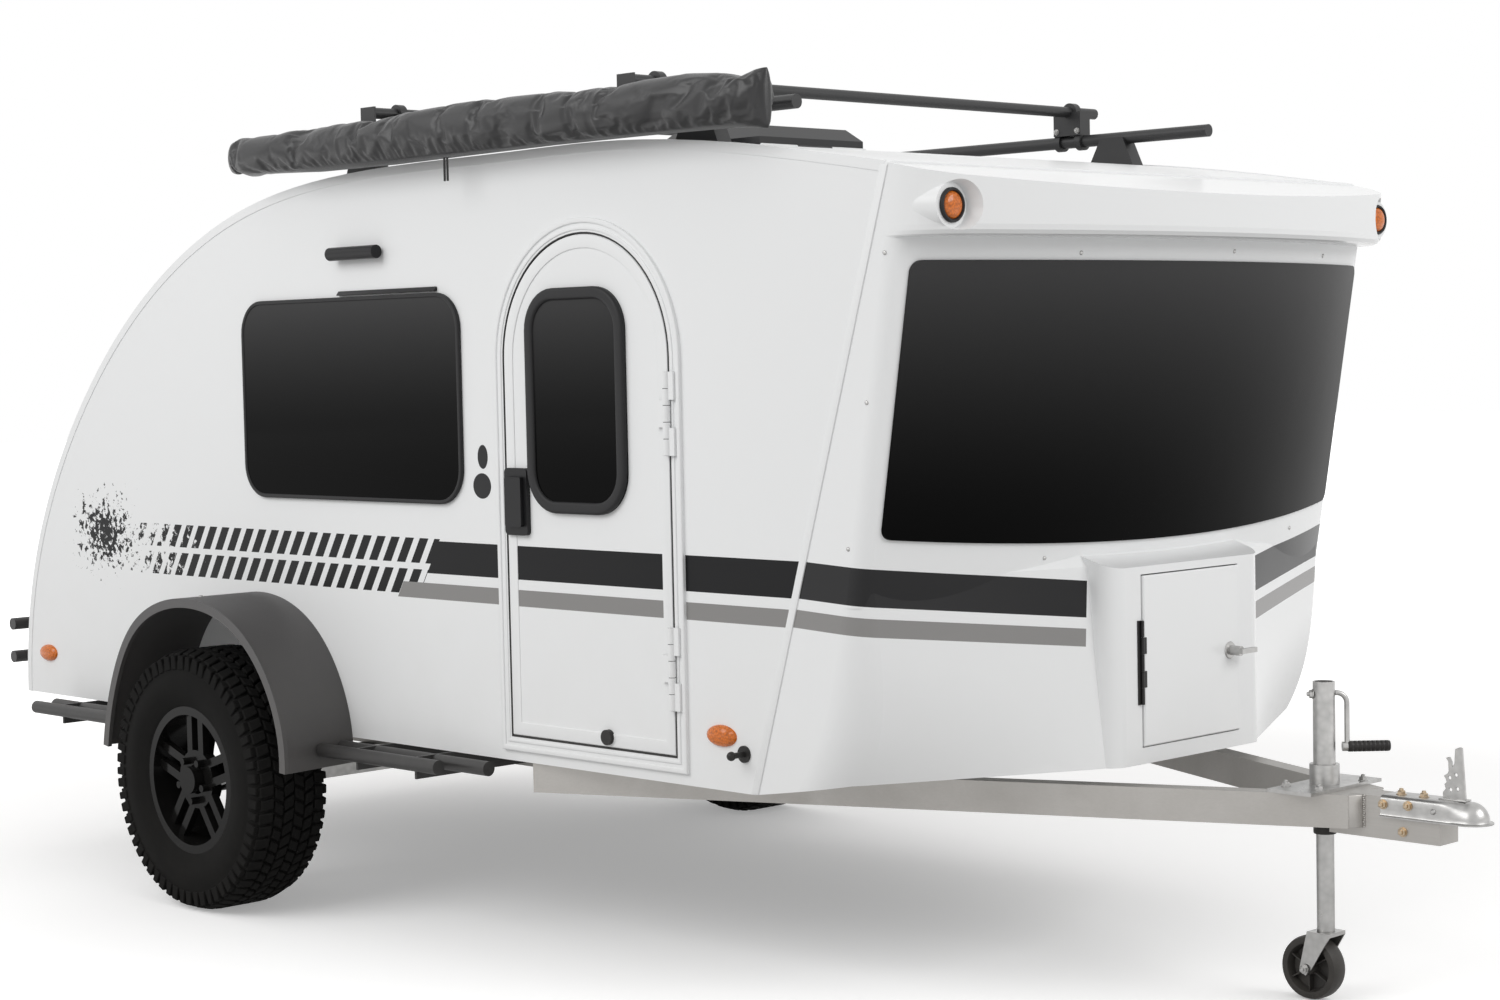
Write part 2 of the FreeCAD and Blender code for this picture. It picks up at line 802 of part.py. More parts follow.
def windshield_prism(grow):
    """The outline of the front window, square-on, grown outwards by grow."""
    half = windshield_half_width + grow
    sill = S.windshield_sill - grow
    head = windshield_head + grow
    back, front = S.cap_sill_front - S.cap_bow, cap_head_front + S.cap_bow * 2
    corners = [vec(back, -half, sill), vec(back, half, sill), vec(back, half, head), vec(back, -half, head)]
    bottom = Part.Arc(corners[0], vec(back, 0, sill - S.windshield_sill_drop), corners[1]).toShape()
    wire = Part.Wire([bottom] + [Part.makeLine(corners[i], corners[(i + 1) % 4]) for i in (1, 2, 3)])
    prism = Part.Face(wire).extrude(vec(front - back, 0, 0))
    long_edges = [e for e in prism.Edges if abs(e.tangentAt(e.FirstParameter).x) > 0.99]
    return prism.makeFillet(value(S.windshield_corner), long_edges)


nose_door_hole = Part.makeBox(
    value(S.cap_wall * 4), value(S.nose_door_half_width * 2 + S.nose_door_gap * 2),
    value(S.nose_door_top - S.nose_door_bottom + S.nose_door_gap * 2),
    vec(S.nose_front - S.cap_wall * 2, -S.nose_door_half_width - S.nose_door_gap,
        S.nose_door_bottom - S.nose_door_gap))
cap_outer = cap_solid(as_size(0)).fuse(nose_solid(as_size(0)))
cap_inner = cap_solid(S.cap_wall).fuse(nose_solid(S.cap_wall))


def blister(side):
    """The swelling that carries a lamp at the end of the brow."""
    tip_y = S.body_half_width - S.blister_tip_inset
    rings = []
    for along, swell in blister_shares:
        x = lamp_x - S.blister_length * (1 - along)
        y = tip_y + (lamp_y - tip_y) * along
        radius = S.blister_tip_radius + (S.lamp_radius + S.blister_rim - S.blister_tip_radius) * swell
        rings.append(Part.Wire(Part.makeCircle(value(radius), vec(x, y * side, lamp_z), FreeCAD.Vector(1, 0, 0))))
    return loft(rings)


lamp_pockets = [Part.makeCylinder(value(S.lamp_radius + S.fit_gap), value(S.lamp_depth),
                                  vec(lamp_x - S.lamp_depth + S.fit_gap, lamp_y * side, lamp_z),
                                  FreeCAD.Vector(1, 0, 0)) for side in (-1, 1)]
lamp_rooms = [Part.makeCone(value(S.lamp_radius + S.blister_rim), value(S.lamp_radius + S.lamp_scoop),
                            value(S.lamp_scoop_depth), vec(lamp_x, lamp_y * side, lamp_z),
                            FreeCAD.Vector(1, 0, 0)) for side in (-1, 1)]
lamp_bodies = [Part.makeCylinder(value(S.lamp_radius + S.lamp_scoop + S.cap_wall), value(S.lamp_scoop_depth * 3),
                                 vec(lamp_x - S.lamp_scoop_depth, lamp_y * side, lamp_z),
                                 FreeCAD.Vector(1, 0, 0)).common(cap_outer) for side in (-1, 1)]
cap_shell = cap_outer.cut(cap_inner)
cap_shell = cap_shell.fuse(lamp_bodies + [blister(-1), blister(1)])
cap_shell = cap_shell.cut(lamp_pockets + lamp_rooms)
cap_shell = cap_shell.cut([seam_side(-1), windshield_prism(-S.windshield_lap), nose_door_hole])
keep("front_cap", feature("cap_shell", cap_shell))
pane = windshield_prism(as_size(0)).common(cap_band(-S.windshield_gap - S.windshield_glass))
pane = pane.cut([cap_band(-S.windshield_gap), cap_low(-S.windshield_gap), nose_solid(as_size(0)), seam_side(-1)])
keep("windshield", feature("windshield_pane", pane))

# Lamps of the cap
cap_lamps = [rod("cap_lamp_%d" % i, lamp_x - S.lamp_depth + S.fit_gap * 2, lamp_y * side, lamp_z, "x",
                 S.lamp_depth, S.lamp_radius) for i, side in enumerate((-1, 1))]
keep("cap_lamps", group("cap_lamp_pair", cap_lamps))


# Side windows: a dark pane over the wall, with a ring that fills the hole
def side_window():
    outer = rounded_plate(S.window_rear, S.window_front, S.window_sill, S.window_head, S.window_corner,
                          -S.body_half_width - S.window_proud, -S.body_half_width)
    rim = S.window_rim + S.fit_gap
    ring = rounded_plate(S.window_rear + rim, S.window_front - rim, S.window_sill + rim, S.window_head - rim,
                         S.window_corner - rim, -S.body_half_width, -inner_y)
    hollow = rim + S.window_ring
    room = rounded_plate(S.window_rear + hollow, S.window_front - hollow, S.window_sill + hollow,
                         S.window_head - hollow, S.window_corner - hollow + S.window_ring / 2,
                         -S.body_half_width - S.window_proud + S.window_pane, -inner_y + S.overrun)
    return outer.fuse(ring).cut(room)


window_shape = side_window()
keep("window_right", feature("window_right_pane", window_shape))
keep("window_left", feature("window_left_pane",
                            window_shape.mirror(FreeCAD.Vector(0, 0, 0), FreeCAD.Vector(0, 1, 0))))

# Entry door: frame, leaf, window, handle and hinges
outer_y = -S.body_half_width
lining = S.door_flange + S.fit_gap
frame_flange = arched_plate(S.door_rear, S.door_front, S.door_foot, S.door_head,
                            outer_y - S.door_flange_thick, outer_y)
frame_neck = arched_plate(S.door_rear + lining, S.door_front - lining, S.door_foot + lining,
                          S.door_head - lining, outer_y, -inner_y)
clear = lining + S.door_lining
frame_clear = arched_plate(S.door_rear + clear, S.door_front - clear, S.door_foot + clear,
                           S.door_head - clear, outer_y - S.overrun, -inner_y + S.overrun)
hinge_x = S.door_front - clear - S.door_gap / 2
hinge_y = outer_y - S.door_flange_thick - S.hinge_stand
door_frame = frame_flange.fuse(frame_neck).cut(frame_clear)
hinge_steps = [S.hinge_low, S.hinge_high]
third = S.hinge_height / 3
frame_pieces = []
leaf_pieces = []
for low in hinge_steps:
    pin = Part.makeCylinder(value(S.hinge_pin_radius), value(S.hinge_height), vec(hinge_x, hinge_y, low))
    frame_pieces.append(pin)
    for foot in (low, low + third * 2):
        frame_pieces.append(Part.makeCylinder(value(S.hinge_radius), value(third), vec(hinge_x, hinge_y, foot)))
        frame_pieces.append(Part.makeBox(value(S.hinge_strap), value(S.hinge_strap_thick), value(third),
                                         vec(hinge_x, hinge_y - S.hinge_strap_thick / 2, foot)))
        frame_pieces.append(Part.makeBox(
            value(S.hinge_strap_thick), value(S.hinge_stand), value(third),
            vec(hinge_x + S.hinge_strap - S.hinge_strap_thick, hinge_y, foot)))
    knuckle_low = low + third + S.hinge_play
    knuckle_height = third - S.hinge_play * 2
    leaf_pieces.append(Part.makeCylinder(value(S.hinge_radius), value(knuckle_height),
                                         vec(hinge_x, hinge_y, knuckle_low)))
    leaf_pieces.append(Part.makeBox(value(S.hinge_strap * 1.5), value(S.hinge_strap_thick), value(knuckle_height),
                                    vec(hinge_x - S.hinge_strap * 1.5, hinge_y - S.hinge_strap_thick / 2,
                                        knuckle_low)))
    leaf_pieces.append(Part.makeBox(
        value(S.hinge_strap_thick), value(S.hinge_stand + S.door_flange_thick - S.door_leaf_proud),
        value(knuckle_height), vec(hinge_x - S.hinge_strap * 1.5, hinge_y, knuckle_low)))
door_frame = door_frame.fuse(frame_pieces)
keep("door_frame", feature("door_frame_ring", door_frame))

hinge_halves = leaf_pieces[0].fuse(leaf_pieces[1:3]), leaf_pieces[3].fuse(leaf_pieces[4:6])
pin_holes = [Part.makeCylinder(value(S.hinge_pin_radius + S.fit_gap), value(S.hinge_height),
                               vec(hinge_x, hinge_y, low)) for low in hinge_steps]
leaf_halves = Part.makeCompound([half.cut(hole) for half, hole in zip(hinge_halves, pin_holes)])
keep("door_hinges", feature("door_hinge_leaves", leaf_halves))

edge = clear + S.door_gap
leaf_outer = outer_y - S.door_leaf_proud
leaf = arched_plate(S.door_rear + edge, S.door_front - edge, S.door_foot + edge, S.door_head - edge,
                    leaf_outer, leaf_outer + S.door_leaf)
rim = S.door_window_rim
leaf_hole = rounded_plate(S.door_window_rear + rim, S.door_window_front - rim, S.door_window_sill + rim,
                          S.door_window_head - rim, S.door_window_corner - rim,
                          leaf_outer - S.overrun, leaf_outer + S.door_leaf + S.overrun)
leaf = leaf.cut(leaf_hole)
keep("door_panel", feature("door_leaf", leaf))

glass = rounded_plate(S.door_window_rear, S.door_window_front, S.door_window_sill, S.door_window_head,
                      S.door_window_corner, leaf_outer - S.door_window_proud, leaf_outer)
seat = rim + S.fit_gap
glass_plug = rounded_plate(S.door_window_rear + seat, S.door_window_front - seat, S.door_window_sill + seat,
                           S.door_window_head - seat, S.door_window_corner - seat, leaf_outer,
                           leaf_outer + S.door_leaf)
glass_room_edge = seat + S.window_ring
glass_room = rounded_plate(S.door_window_rear + glass_room_edge, S.door_window_front - glass_room_edge,
                           S.door_window_sill + glass_room_edge, S.door_window_head - glass_room_edge,
                           S.door_window_corner - seat, leaf_outer - S.door_window_proud + S.window_pane,
                           leaf_outer + S.door_leaf + S.overrun)
keep("door_window", feature("door_window_pane", glass.fuse(glass_plug).cut(glass_room)))

handle_plate = rounded_plate(S.handle_rear, S.handle_front, S.handle_bottom, S.handle_top, S.handle_proud,
                             leaf_outer - S.handle_proud, leaf_outer)
paddle = rounded_plate(S.handle_rear + S.handle_proud, S.handle_front - S.handle_proud,
                       S.handle_bottom + S.handle_paddle, S.handle_top - S.handle_paddle, S.handle_proud / 2,
                       leaf_outer - S.handle_proud - S.handle_paddle / 2, leaf_outer - S.handle_proud)
socket = Part.makeCylinder(value(S.socket_radius), value(S.socket_proud),
                           vec(S.socket_x, leaf_outer - S.socket_proud, S.socket_z), FreeCAD.Vector(0, 1, 0))
keep("door_handle", feature("door_handle_set", Part.makeCompound([handle_plate.fuse(paddle), socket])))

# Holdback that catches the open door
base = rod("holdback_base", S.holdback_x, outer_y - S.holdback_base, S.socket_z, "y", S.holdback_base,
           S.holdback_base_radius)
stem = rod("holdback_stem", S.holdback_x, outer_y - S.holdback_reach, S.socket_z, "y", S.holdback_reach,
           S.holdback_stem_radius)
ball = doc.addObject("Part::Sphere", "holdback_ball")
bind(ball, Radius=S.holdback_ball_radius)
place(ball, S.holdback_x, outer_y - S.holdback_reach, S.socket_z)
keep("holdback", fuse("holdback_set", [base, stem, ball]))

# Nose door, its hinge and its latch
door_back = S.nose_front - S.cap_wall
nose_slab = Part.makeBox(value(S.cap_wall + S.nose_door_proud), value(S.nose_door_half_width * 2),
                         value(S.nose_door_top - S.nose_door_bottom),
                         vec(door_back, -S.nose_door_half_width, S.nose_door_bottom))
face_edges = [e for e in nose_slab.Edges if e.BoundBox.XLength < value(S.fit_gap)
              and e.CenterOfMass.x > value(S.nose_front)]
nose_slab = nose_slab.makeChamfer(value(S.nose_door_proud / 2), face_edges)
keep("nose_door", feature("nose_door_slab", nose_slab))
nose_hinge_x = S.nose_front + S.nose_door_proud
nose_hinge_y = -S.nose_door_half_width - S.nose_hinge_radius * 1.5
knuckle_count = 5
knuckle = (S.nose_hinge_top - S.nose_hinge_bottom) / knuckle_count
fixed_knuckles = [rod("nose_hinge_pin", nose_hinge_x, nose_hinge_y, S.nose_hinge_bottom, "z",
                      S.nose_hinge_top - S.nose_hinge_bottom, S.nose_hinge_pin_radius)]
fixed_slab = block("nose_hinge_fixed_slab", S.nose_front + S.fit_gap, nose_hinge_y - S.nose_hinge_leaf,
                   S.nose_hinge_bottom, S.nose_hinge_leaf_thick, S.nose_hinge_leaf,
                   S.nose_hinge_top - S.nose_hinge_bottom)
knuckle_rooms = [rod("nose_hinge_room_%d" % k, nose_hinge_x, nose_hinge_y, S.nose_hinge_bottom + knuckle * k, "z",
                     knuckle, S.nose_hinge_radius + S.fit_gap) for k in range(1, knuckle_count, 2)]
fixed_knuckles.append(cut("nose_hinge_fixed_leaf", fixed_slab, knuckle_rooms))
moving_knuckles = []
for k in range(knuckle_count):
    low = S.nose_hinge_bottom + knuckle * k
    barrel = rod("nose_hinge_barrel_%d" % k, nose_hinge_x, nose_hinge_y, low + S.hinge_play / 2, "z",
                 knuckle - S.hinge_play, S.nose_hinge_radius)
    if k % 2:
        bore = rod("nose_hinge_bore_%d" % k, nose_hinge_x, nose_hinge_y, low, "z", knuckle,
                   S.nose_hinge_pin_radius + S.fit_gap)
        leaf_part = block("nose_hinge_leaf_%d" % k, nose_hinge_x + S.fit_gap, nose_hinge_y,
                          low + S.hinge_play / 2, S.nose_hinge_leaf_thick, S.nose_hinge_leaf,
                          knuckle - S.hinge_play)
        moving_knuckles.append(cut("nose_hinge_knuckle_%d" % k,
                                   fuse("nose_hinge_half_%d" % k, [barrel, leaf_part]), [bore]))
    else:
        fixed_knuckles.append(barrel)
keep("nose_hinge_base", fuse("nose_hinge_base_set", fixed_knuckles))
keep("nose_hinge", group("nose_hinge_set", moving_knuckles))
latch_face = S.nose_front + S.nose_door_proud
latch_boss = rod("nose_latch_boss", latch_face, S.nose_latch_y, S.nose_latch_z, "x", S.nose_latch_reach,
                 S.nose_latch_radius)
latch_bar = block("nose_latch_bar", latch_face + S.nose_latch_reach, S.nose_latch_y - S.nose_latch_radius,
                  S.nose_latch_z - S.nose_latch_radius / 2, S.nose_latch_radius, S.nose_latch_grip,
                  S.nose_latch_radius)
keep("nose_latch", fuse("nose_latch_set", [latch_boss, latch_bar]))

# Frame under the floor
rail_z = S.floor_height - S.rail_height
frame_front = S.tongue_rear + (S.tongue_front - S.tongue_rear) * (
    (tongue_rear_y - frame_rail_y) / (tongue_rear_y - S.tongue_front_y)) - S.rail_width * 2
rails = [block("frame_rail_%d" % i, -frame_rear, frame_rail_y * side - S.rail_width / 2, rail_z,
               frame_rear + frame_front, S.rail_width, S.rail_height) for i, side in enumerate((-1, 1))]
keep("frame_rails", group("frame_rail_pair", rails))
member_shares = (0, 0.27, 0.52, 0.76)
inner_rail = frame_rail_y - S.rail_width / 2
members = [block("cross_member_%d" % i, -frame_rear + (frame_rear + frame_front) * share, -inner_rail, rail_z,
                 S.cross_member_width, inner_rail * 2, S.rail_height) for i, share in enumerate(member_shares)]
keep("cross_members", group("cross_member_set", members))

# Tongue: two slanted rails that meet at a short tube
tongue_run = value(S.tongue_front - S.tongue_rear)
tongue_side = value(tongue_rear_y - S.tongue_front_y)
tongue_angle = math.degrees(math.atan2(tongue_side, tongue_run))
tongue_span = math.hypot(tongue_run, tongue_side)


def tongue_rail():
    rail = Part.makeBox(tongue_span, value(S.rail_width), value(S.rail_height),
                        FreeCAD.Vector(0, value(-S.rail_width / 2), 0))
    rail.Placement = FreeCAD.Placement(
        vec(S.tongue_rear, -tongue_rear_y, rail_z),
        FreeCAD.Rotation(FreeCAD.Vector(0, 0, 1), tongue_angle)).multiply(rail.Placement)
    tube = Part.makeBox(value(S.tongue_tube_front - S.jack_x), value(S.tongue_tube_half_width * 2),
                        value(S.tongue_tube_height * 2),
                        vec(S.jack_x, -S.tongue_tube_half_width, S.floor_height - S.tongue_tube_height * 1.5))
    rail_side = frame_rail_y + S.rail_width / 2 + S.fit_gap
    frame_end = Part.makeBox(value(frame_front + S.fit_gap - S.tongue_rear + S.rear_reach), value(rail_side * 2),
                             value(S.rail_height * 3),
                             vec(S.tongue_rear - S.rear_reach, -rail_side, rail_z - S.rail_height))
    return rail.cut([tube, frame_end])


right_rail = tongue_rail()
largest = max(right_rail.Solids, key=lambda s: s.Volume)
keep("tongue_rails", feature("tongue_rail_pair", Part.makeCompound(
    [largest, largest.mirror(FreeCAD.Vector(0, 0, 0), FreeCAD.Vector(0, 1, 0))])))
keep("tongue_tube", block("tongue_tube_box", S.tongue_tube_rear, -S.tongue_tube_half_width,
                          S.floor_height - S.tongue_tube_height, S.tongue_tube_front - S.tongue_tube_rear,
                          S.tongue_tube_half_width * 2, S.tongue_tube_height))

# Coupler: a pressed channel over the tube, with a ball socket in its nose
channel_half = S.tongue_tube_half_width + S.fit_gap + S.coupler_skin
channel_low = S.floor_height - S.coupler_depth
channel_high = S.floor_height + S.fit_gap + S.coupler_skin
channel = block("coupler_channel", S.coupler_rear, -channel_half, channel_low,
                S.coupler_ball_x - S.coupler_rear, channel_half * 2, channel_high - channel_low)
nose = rod("coupler_nose", S.coupler_ball_x, 0, channel_low, "z", channel_high - channel_low,
           S.coupler_nose_radius)
lip = rod("coupler_lip_round", S.coupler_ball_x, 0, channel_low, "z", S.coupler_skin,
          S.coupler_nose_radius + S.coupler_lip)
lip_sides = block("coupler_lip_sides", S.coupler_rear, -channel_half - S.coupler_lip, channel_low,
                  S.coupler_ball_x - S.coupler_rear, (channel_half + S.coupler_lip) * 2, S.coupler_skin)
tube_room = block("coupler_tube_room", S.coupler_rear - S.overrun,
                  -S.tongue_tube_half_width - S.fit_gap, channel_low - S.overrun,
                  S.tongue_tube_front + S.fit_gap - S.coupler_rear + S.overrun,
                  (S.tongue_tube_half_width + S.fit_gap) * 2, S.coupler_depth + S.overrun + S.fit_gap)
ball_room = rod("coupler_socket", S.coupler_ball_x, 0, channel_low - S.overrun, "z",
                S.overrun + S.coupler_socket_depth, S.coupler_socket_radius)
coupler_solid = fuse("coupler_solid", [channel, nose, lip, lip_sides])
keep("coupler", cut("coupler_pressing", coupler_solid, [tube_room, ball_room]))
latch_z = channel_high
latch_points = [
    (S.latch_rear, latch_z), (S.latch_rear + S.latch_length, latch_z),
    (S.latch_rear + S.latch_length * 0.9, latch_z + S.latch_height),
    (S.latch_rear + S.latch_length * 0.55, latch_z + S.latch_height),
    (S.latch_rear + S.latch_length * 0.5, latch_z + S.latch_height * 0.55),
    (S.latch_rear + S.latch_length * 0.1, latch_z + S.latch_height * 0.8),
    (S.latch_rear + S.latch_length * 0.3, latch_z + S.latch_height * 0.4),
    (S.latch_rear, latch_z + S.latch_height * 0.3),
]
keep("coupler_latch", padded("coupler_latch_body", "XZ_Plane", latch_points, S.latch_thick, 0, True))

# Jack: outer tube, plate on the rails, crank
tube_out = rod("jack_tube_outer", S.jack_x, 0, S.jack_tube_bottom, "z", S.jack_tube_top - S.jack_tube_bottom,
               S.jack_tube_radius)
tube_in = rod("jack_tube_inner", S.jack_x, 0, S.jack_tube_bottom - S.overrun, "z",
              S.jack_tube_top - S.jack_tube_bottom + S.overrun * 2, S.jack_leg_radius + S.fit_gap)
keep("jack_tube", cut("jack_tube_body", tube_out, [tube_in]))
rail_out_y = S.tongue_front_y + (tongue_rear_y - S.tongue_front_y) * (
    (S.tongue_front - S.jack_x) / (S.tongue_front - S.tongue_rear)) + S.rail_width
plate = block("jack_plate_slab", S.jack_x - S.jack_plate_length / 2, -rail_out_y, S.floor_height,
              S.jack_plate_length, rail_out_y * 2, S.jack_plate)
collar = rod("jack_plate_collar", S.jack_x, 0, S.floor_height, "z", S.jack_plate + S.jack_collar_height,
             S.jack_tube_radius + S.jack_collar)
plate_hole = rod("jack_plate_hole", S.jack_x, 0, S.floor_height - S.overrun, "z",
                 S.overrun * 2 + S.jack_collar_height + S.jack_plate, S.jack_tube_radius + S.fit_gap)
keep("jack_bracket", cut("jack_bracket_body", fuse("jack_bracket_solid", [plate, collar]), [plate_hole]))
crank_start = S.jack_tube_radius + S.fit_gap
half_turn = math.cos(math.radians(45))
crank_path = Part.Wire([
    Part.makeLine(vec(0, crank_start, S.crank_z), vec(0, crank_start + S.crank_out, S.crank_z)),
    Part.Arc(vec(0, crank_start + S.crank_out, S.crank_z),
             vec(0, crank_start + S.crank_out + S.crank_bend * half_turn,
                 S.crank_z - S.crank_bend * (1 - half_turn)),
             vec(0, crank_start + S.crank_out + S.crank_bend, S.crank_z - S.crank_bend)).toShape(),
    Part.makeLine(vec(0, crank_start + S.crank_out + S.crank_bend, S.crank_z - S.crank_bend),
                  vec(0, crank_start + S.crank_out + S.crank_bend, S.crank_z - S.crank_drop)),
])
crank_ring = Part.Wire(Part.makeCircle(value(S.crank_radius), vec(0, crank_start, S.crank_z),
                                       FreeCAD.Vector(0, 1, 0)))
crank_rod = crank_path.makePipeShell([crank_ring], True, False)
crank_grip = Part.makeCylinder(
    value(S.crank_grip_radius), value(S.crank_grip),
    vec(0, crank_start + S.crank_out + S.crank_bend - S.crank_grip_radius, S.crank_z - S.crank_drop),
    FreeCAD.Vector(0, 1, 0))
crank = crank_rod.fuse(crank_grip)
crank.Placement = FreeCAD.Placement(vec(S.jack_x, 0, 0),
                                    FreeCAD.Rotation(FreeCAD.Vector(0, 0, 1), -sizes["crank_turn"]))
keep("jack_crank", feature("crank_handle", Part.makeCompound([crank])))

# Jack leg, fork and caster wheel
leg_out = rod("jack_leg_outer", S.jack_x, 0, S.jack_leg_bottom, "z", S.jack_leg_top - S.jack_leg_bottom,
              S.jack_leg_radius)
leg_in = rod("jack_leg_inner", S.jack_x, 0, S.jack_leg_bottom + S.jack_foot, "z",
             S.jack_leg_top - S.jack_leg_bottom, S.jack_leg_radius - S.jack_leg_wall)
king_hole = rod("jack_leg_king_hole", S.jack_x, 0, S.jack_leg_bottom - S.overrun, "z",
                S.overrun + S.kingpin_height + S.fit_gap * 2, S.kingpin_radius + S.fit_gap)
keep("jack_leg", cut("jack_leg_body", leg_out, [leg_in, king_hole]))
caster_x = S.jack_x - S.caster_trail
arm_y = S.caster_half_width + S.caster_clearance
plate_z = S.jack_leg_bottom - S.fit_gap - S.fork_plate
fork_top = block("fork_top", S.jack_x - arm_y, -arm_y - S.fork_skin, plate_z, arm_y * 2,
                 (arm_y + S.fork_skin) * 2, S.fork_plate)
fork_arm_points = [
    (S.jack_x - arm_y, plate_z + S.fork_plate), (caster_x - S.caster_hub_radius, S.caster_radius),
    (caster_x, S.caster_radius - S.caster_hub_radius), (caster_x + S.caster_hub_radius, S.caster_radius),
    (S.jack_x + arm_y, plate_z), (S.jack_x + arm_y, plate_z + S.fork_plate),
]
fork_near = padded("fork_near_arm", "XZ_Plane", fork_arm_points, S.fork_skin, arm_y)
fork_far = padded("fork_far_arm", "XZ_Plane", fork_arm_points, S.fork_skin, -arm_y - S.fork_skin)
fork_axle = rod("fork_axle", caster_x, -arm_y - S.fork_skin * 2, S.caster_radius, "y",
                (arm_y + S.fork_skin * 2) * 2, S.caster_axle_radius)
kingpin = rod("fork_kingpin", S.jack_x, 0, plate_z, "z", S.fork_plate + S.kingpin_height, S.kingpin_radius)
keep("caster_fork", fuse("caster_fork_body", [fork_top, fork_near, fork_far, fork_axle, kingpin]))
wheel_disc = rod("caster_disc", caster_x, -S.caster_half_width, S.caster_radius, "y", S.caster_half_width * 2,
                 S.caster_radius)
wheel_boss = rod("caster_boss", caster_x, -arm_y + S.fit_gap, S.caster_radius, "y",
                 (arm_y - S.fit_gap) * 2, S.caster_hub_radius)
wheel_bore = rod("caster_bore", caster_x, -arm_y * 2, S.caster_radius, "y", arm_y * 4,
                 S.caster_axle_radius + S.fit_gap)
keep("caster_wheel", cut("caster_wheel_body", fuse("caster_wheel_solid", [wheel_disc, wheel_boss]), [wheel_bore]))

# Axle: a square beam with trailing arms and spindles
beam_z = rail_z - S.axle_beam
beam = block("axle_beam_box", S.axle_lead - S.axle_beam / 2, -axle_half_width, beam_z, S.axle_beam,
             axle_half_width * 2, S.axle_beam)
arm_points = [
    (S.axle_lead + S.axle_beam / 2, beam_z + S.axle_beam), (S.axle_lead + S.axle_beam / 2, beam_z),
    (-S.arm_depth / 2, S.tyre_radius - S.arm_depth / 2), (-S.arm_depth / 2, S.tyre_radius + S.arm_depth / 2),
]
hub_inner = axle_half_width + S.arm_thick + S.backing_plate + S.running_gap
hub_outer = wheel_line + S.rim_pad_offset
axle_parts = [beam]
for i, side in enumerate((-1, 1)):
    offset = axle_half_width if side < 0 else -axle_half_width - S.arm_thick
    axle_parts.append(padded("axle_arm_%d" % i, "XZ_Plane", arm_points, S.arm_thick, offset))
    inner = axle_half_width + S.arm_thick
    start = inner * side if side > 0 else -inner - S.backing_plate
    axle_parts.append(rod("backing_plate_%d" % i, 0, start, S.tyre_radius, "y", S.backing_plate,
                          S.backing_plate_radius))
    start = inner if side > 0 else -hub_outer
    axle_parts.append(rod("spindle_%d" % i, 0, start, S.tyre_radius, "y", hub_outer - inner, S.spindle_radius))
keep("axle", fuse("axle_body", axle_parts))

# Wheels: distances along Y are from the wheel's middle, outwards positive
tyre_profile = [
    (-S.rim_half_width + S.rim_flange + S.fit_gap, S.bead_radius + S.fit_gap),
    (S.rim_half_width - S.rim_flange - S.fit_gap, S.bead_radius + S.fit_gap),
    (S.rim_half_width - S.rim_flange - S.fit_gap, S.rim_flange_radius + S.fit_gap),
    (S.rim_half_width, S.rim_flange_radius + S.rim_flange),
    (S.tyre_half_width, S.tyre_radius * 0.72),
    (S.tyre_half_width * 0.98, S.tyre_radius * 0.86),
    (S.tyre_half_width * 0.92, S.tyre_radius * 0.95),
    (S.tyre_half_width * 0.78, S.tyre_radius),
]
tyre_profile += [(-y, r) for y, r in reversed(tyre_profile[2:])]
flange_in = S.rim_half_width - S.rim_flange
barrel_in = S.bead_radius - S.rim_barrel
barrel_profile = [
    (-S.rim_half_width, S.rim_flange_radius), (-flange_in, S.rim_flange_radius), (-flange_in, S.bead_radius),
    (flange_in, S.bead_radius), (flange_in, S.rim_flange_radius), (S.rim_half_width, S.rim_flange_radius),
    (S.rim_half_width, barrel_in), (-S.rim_half_width, barrel_in),
]
spoke_count = 5
lug_count = 5
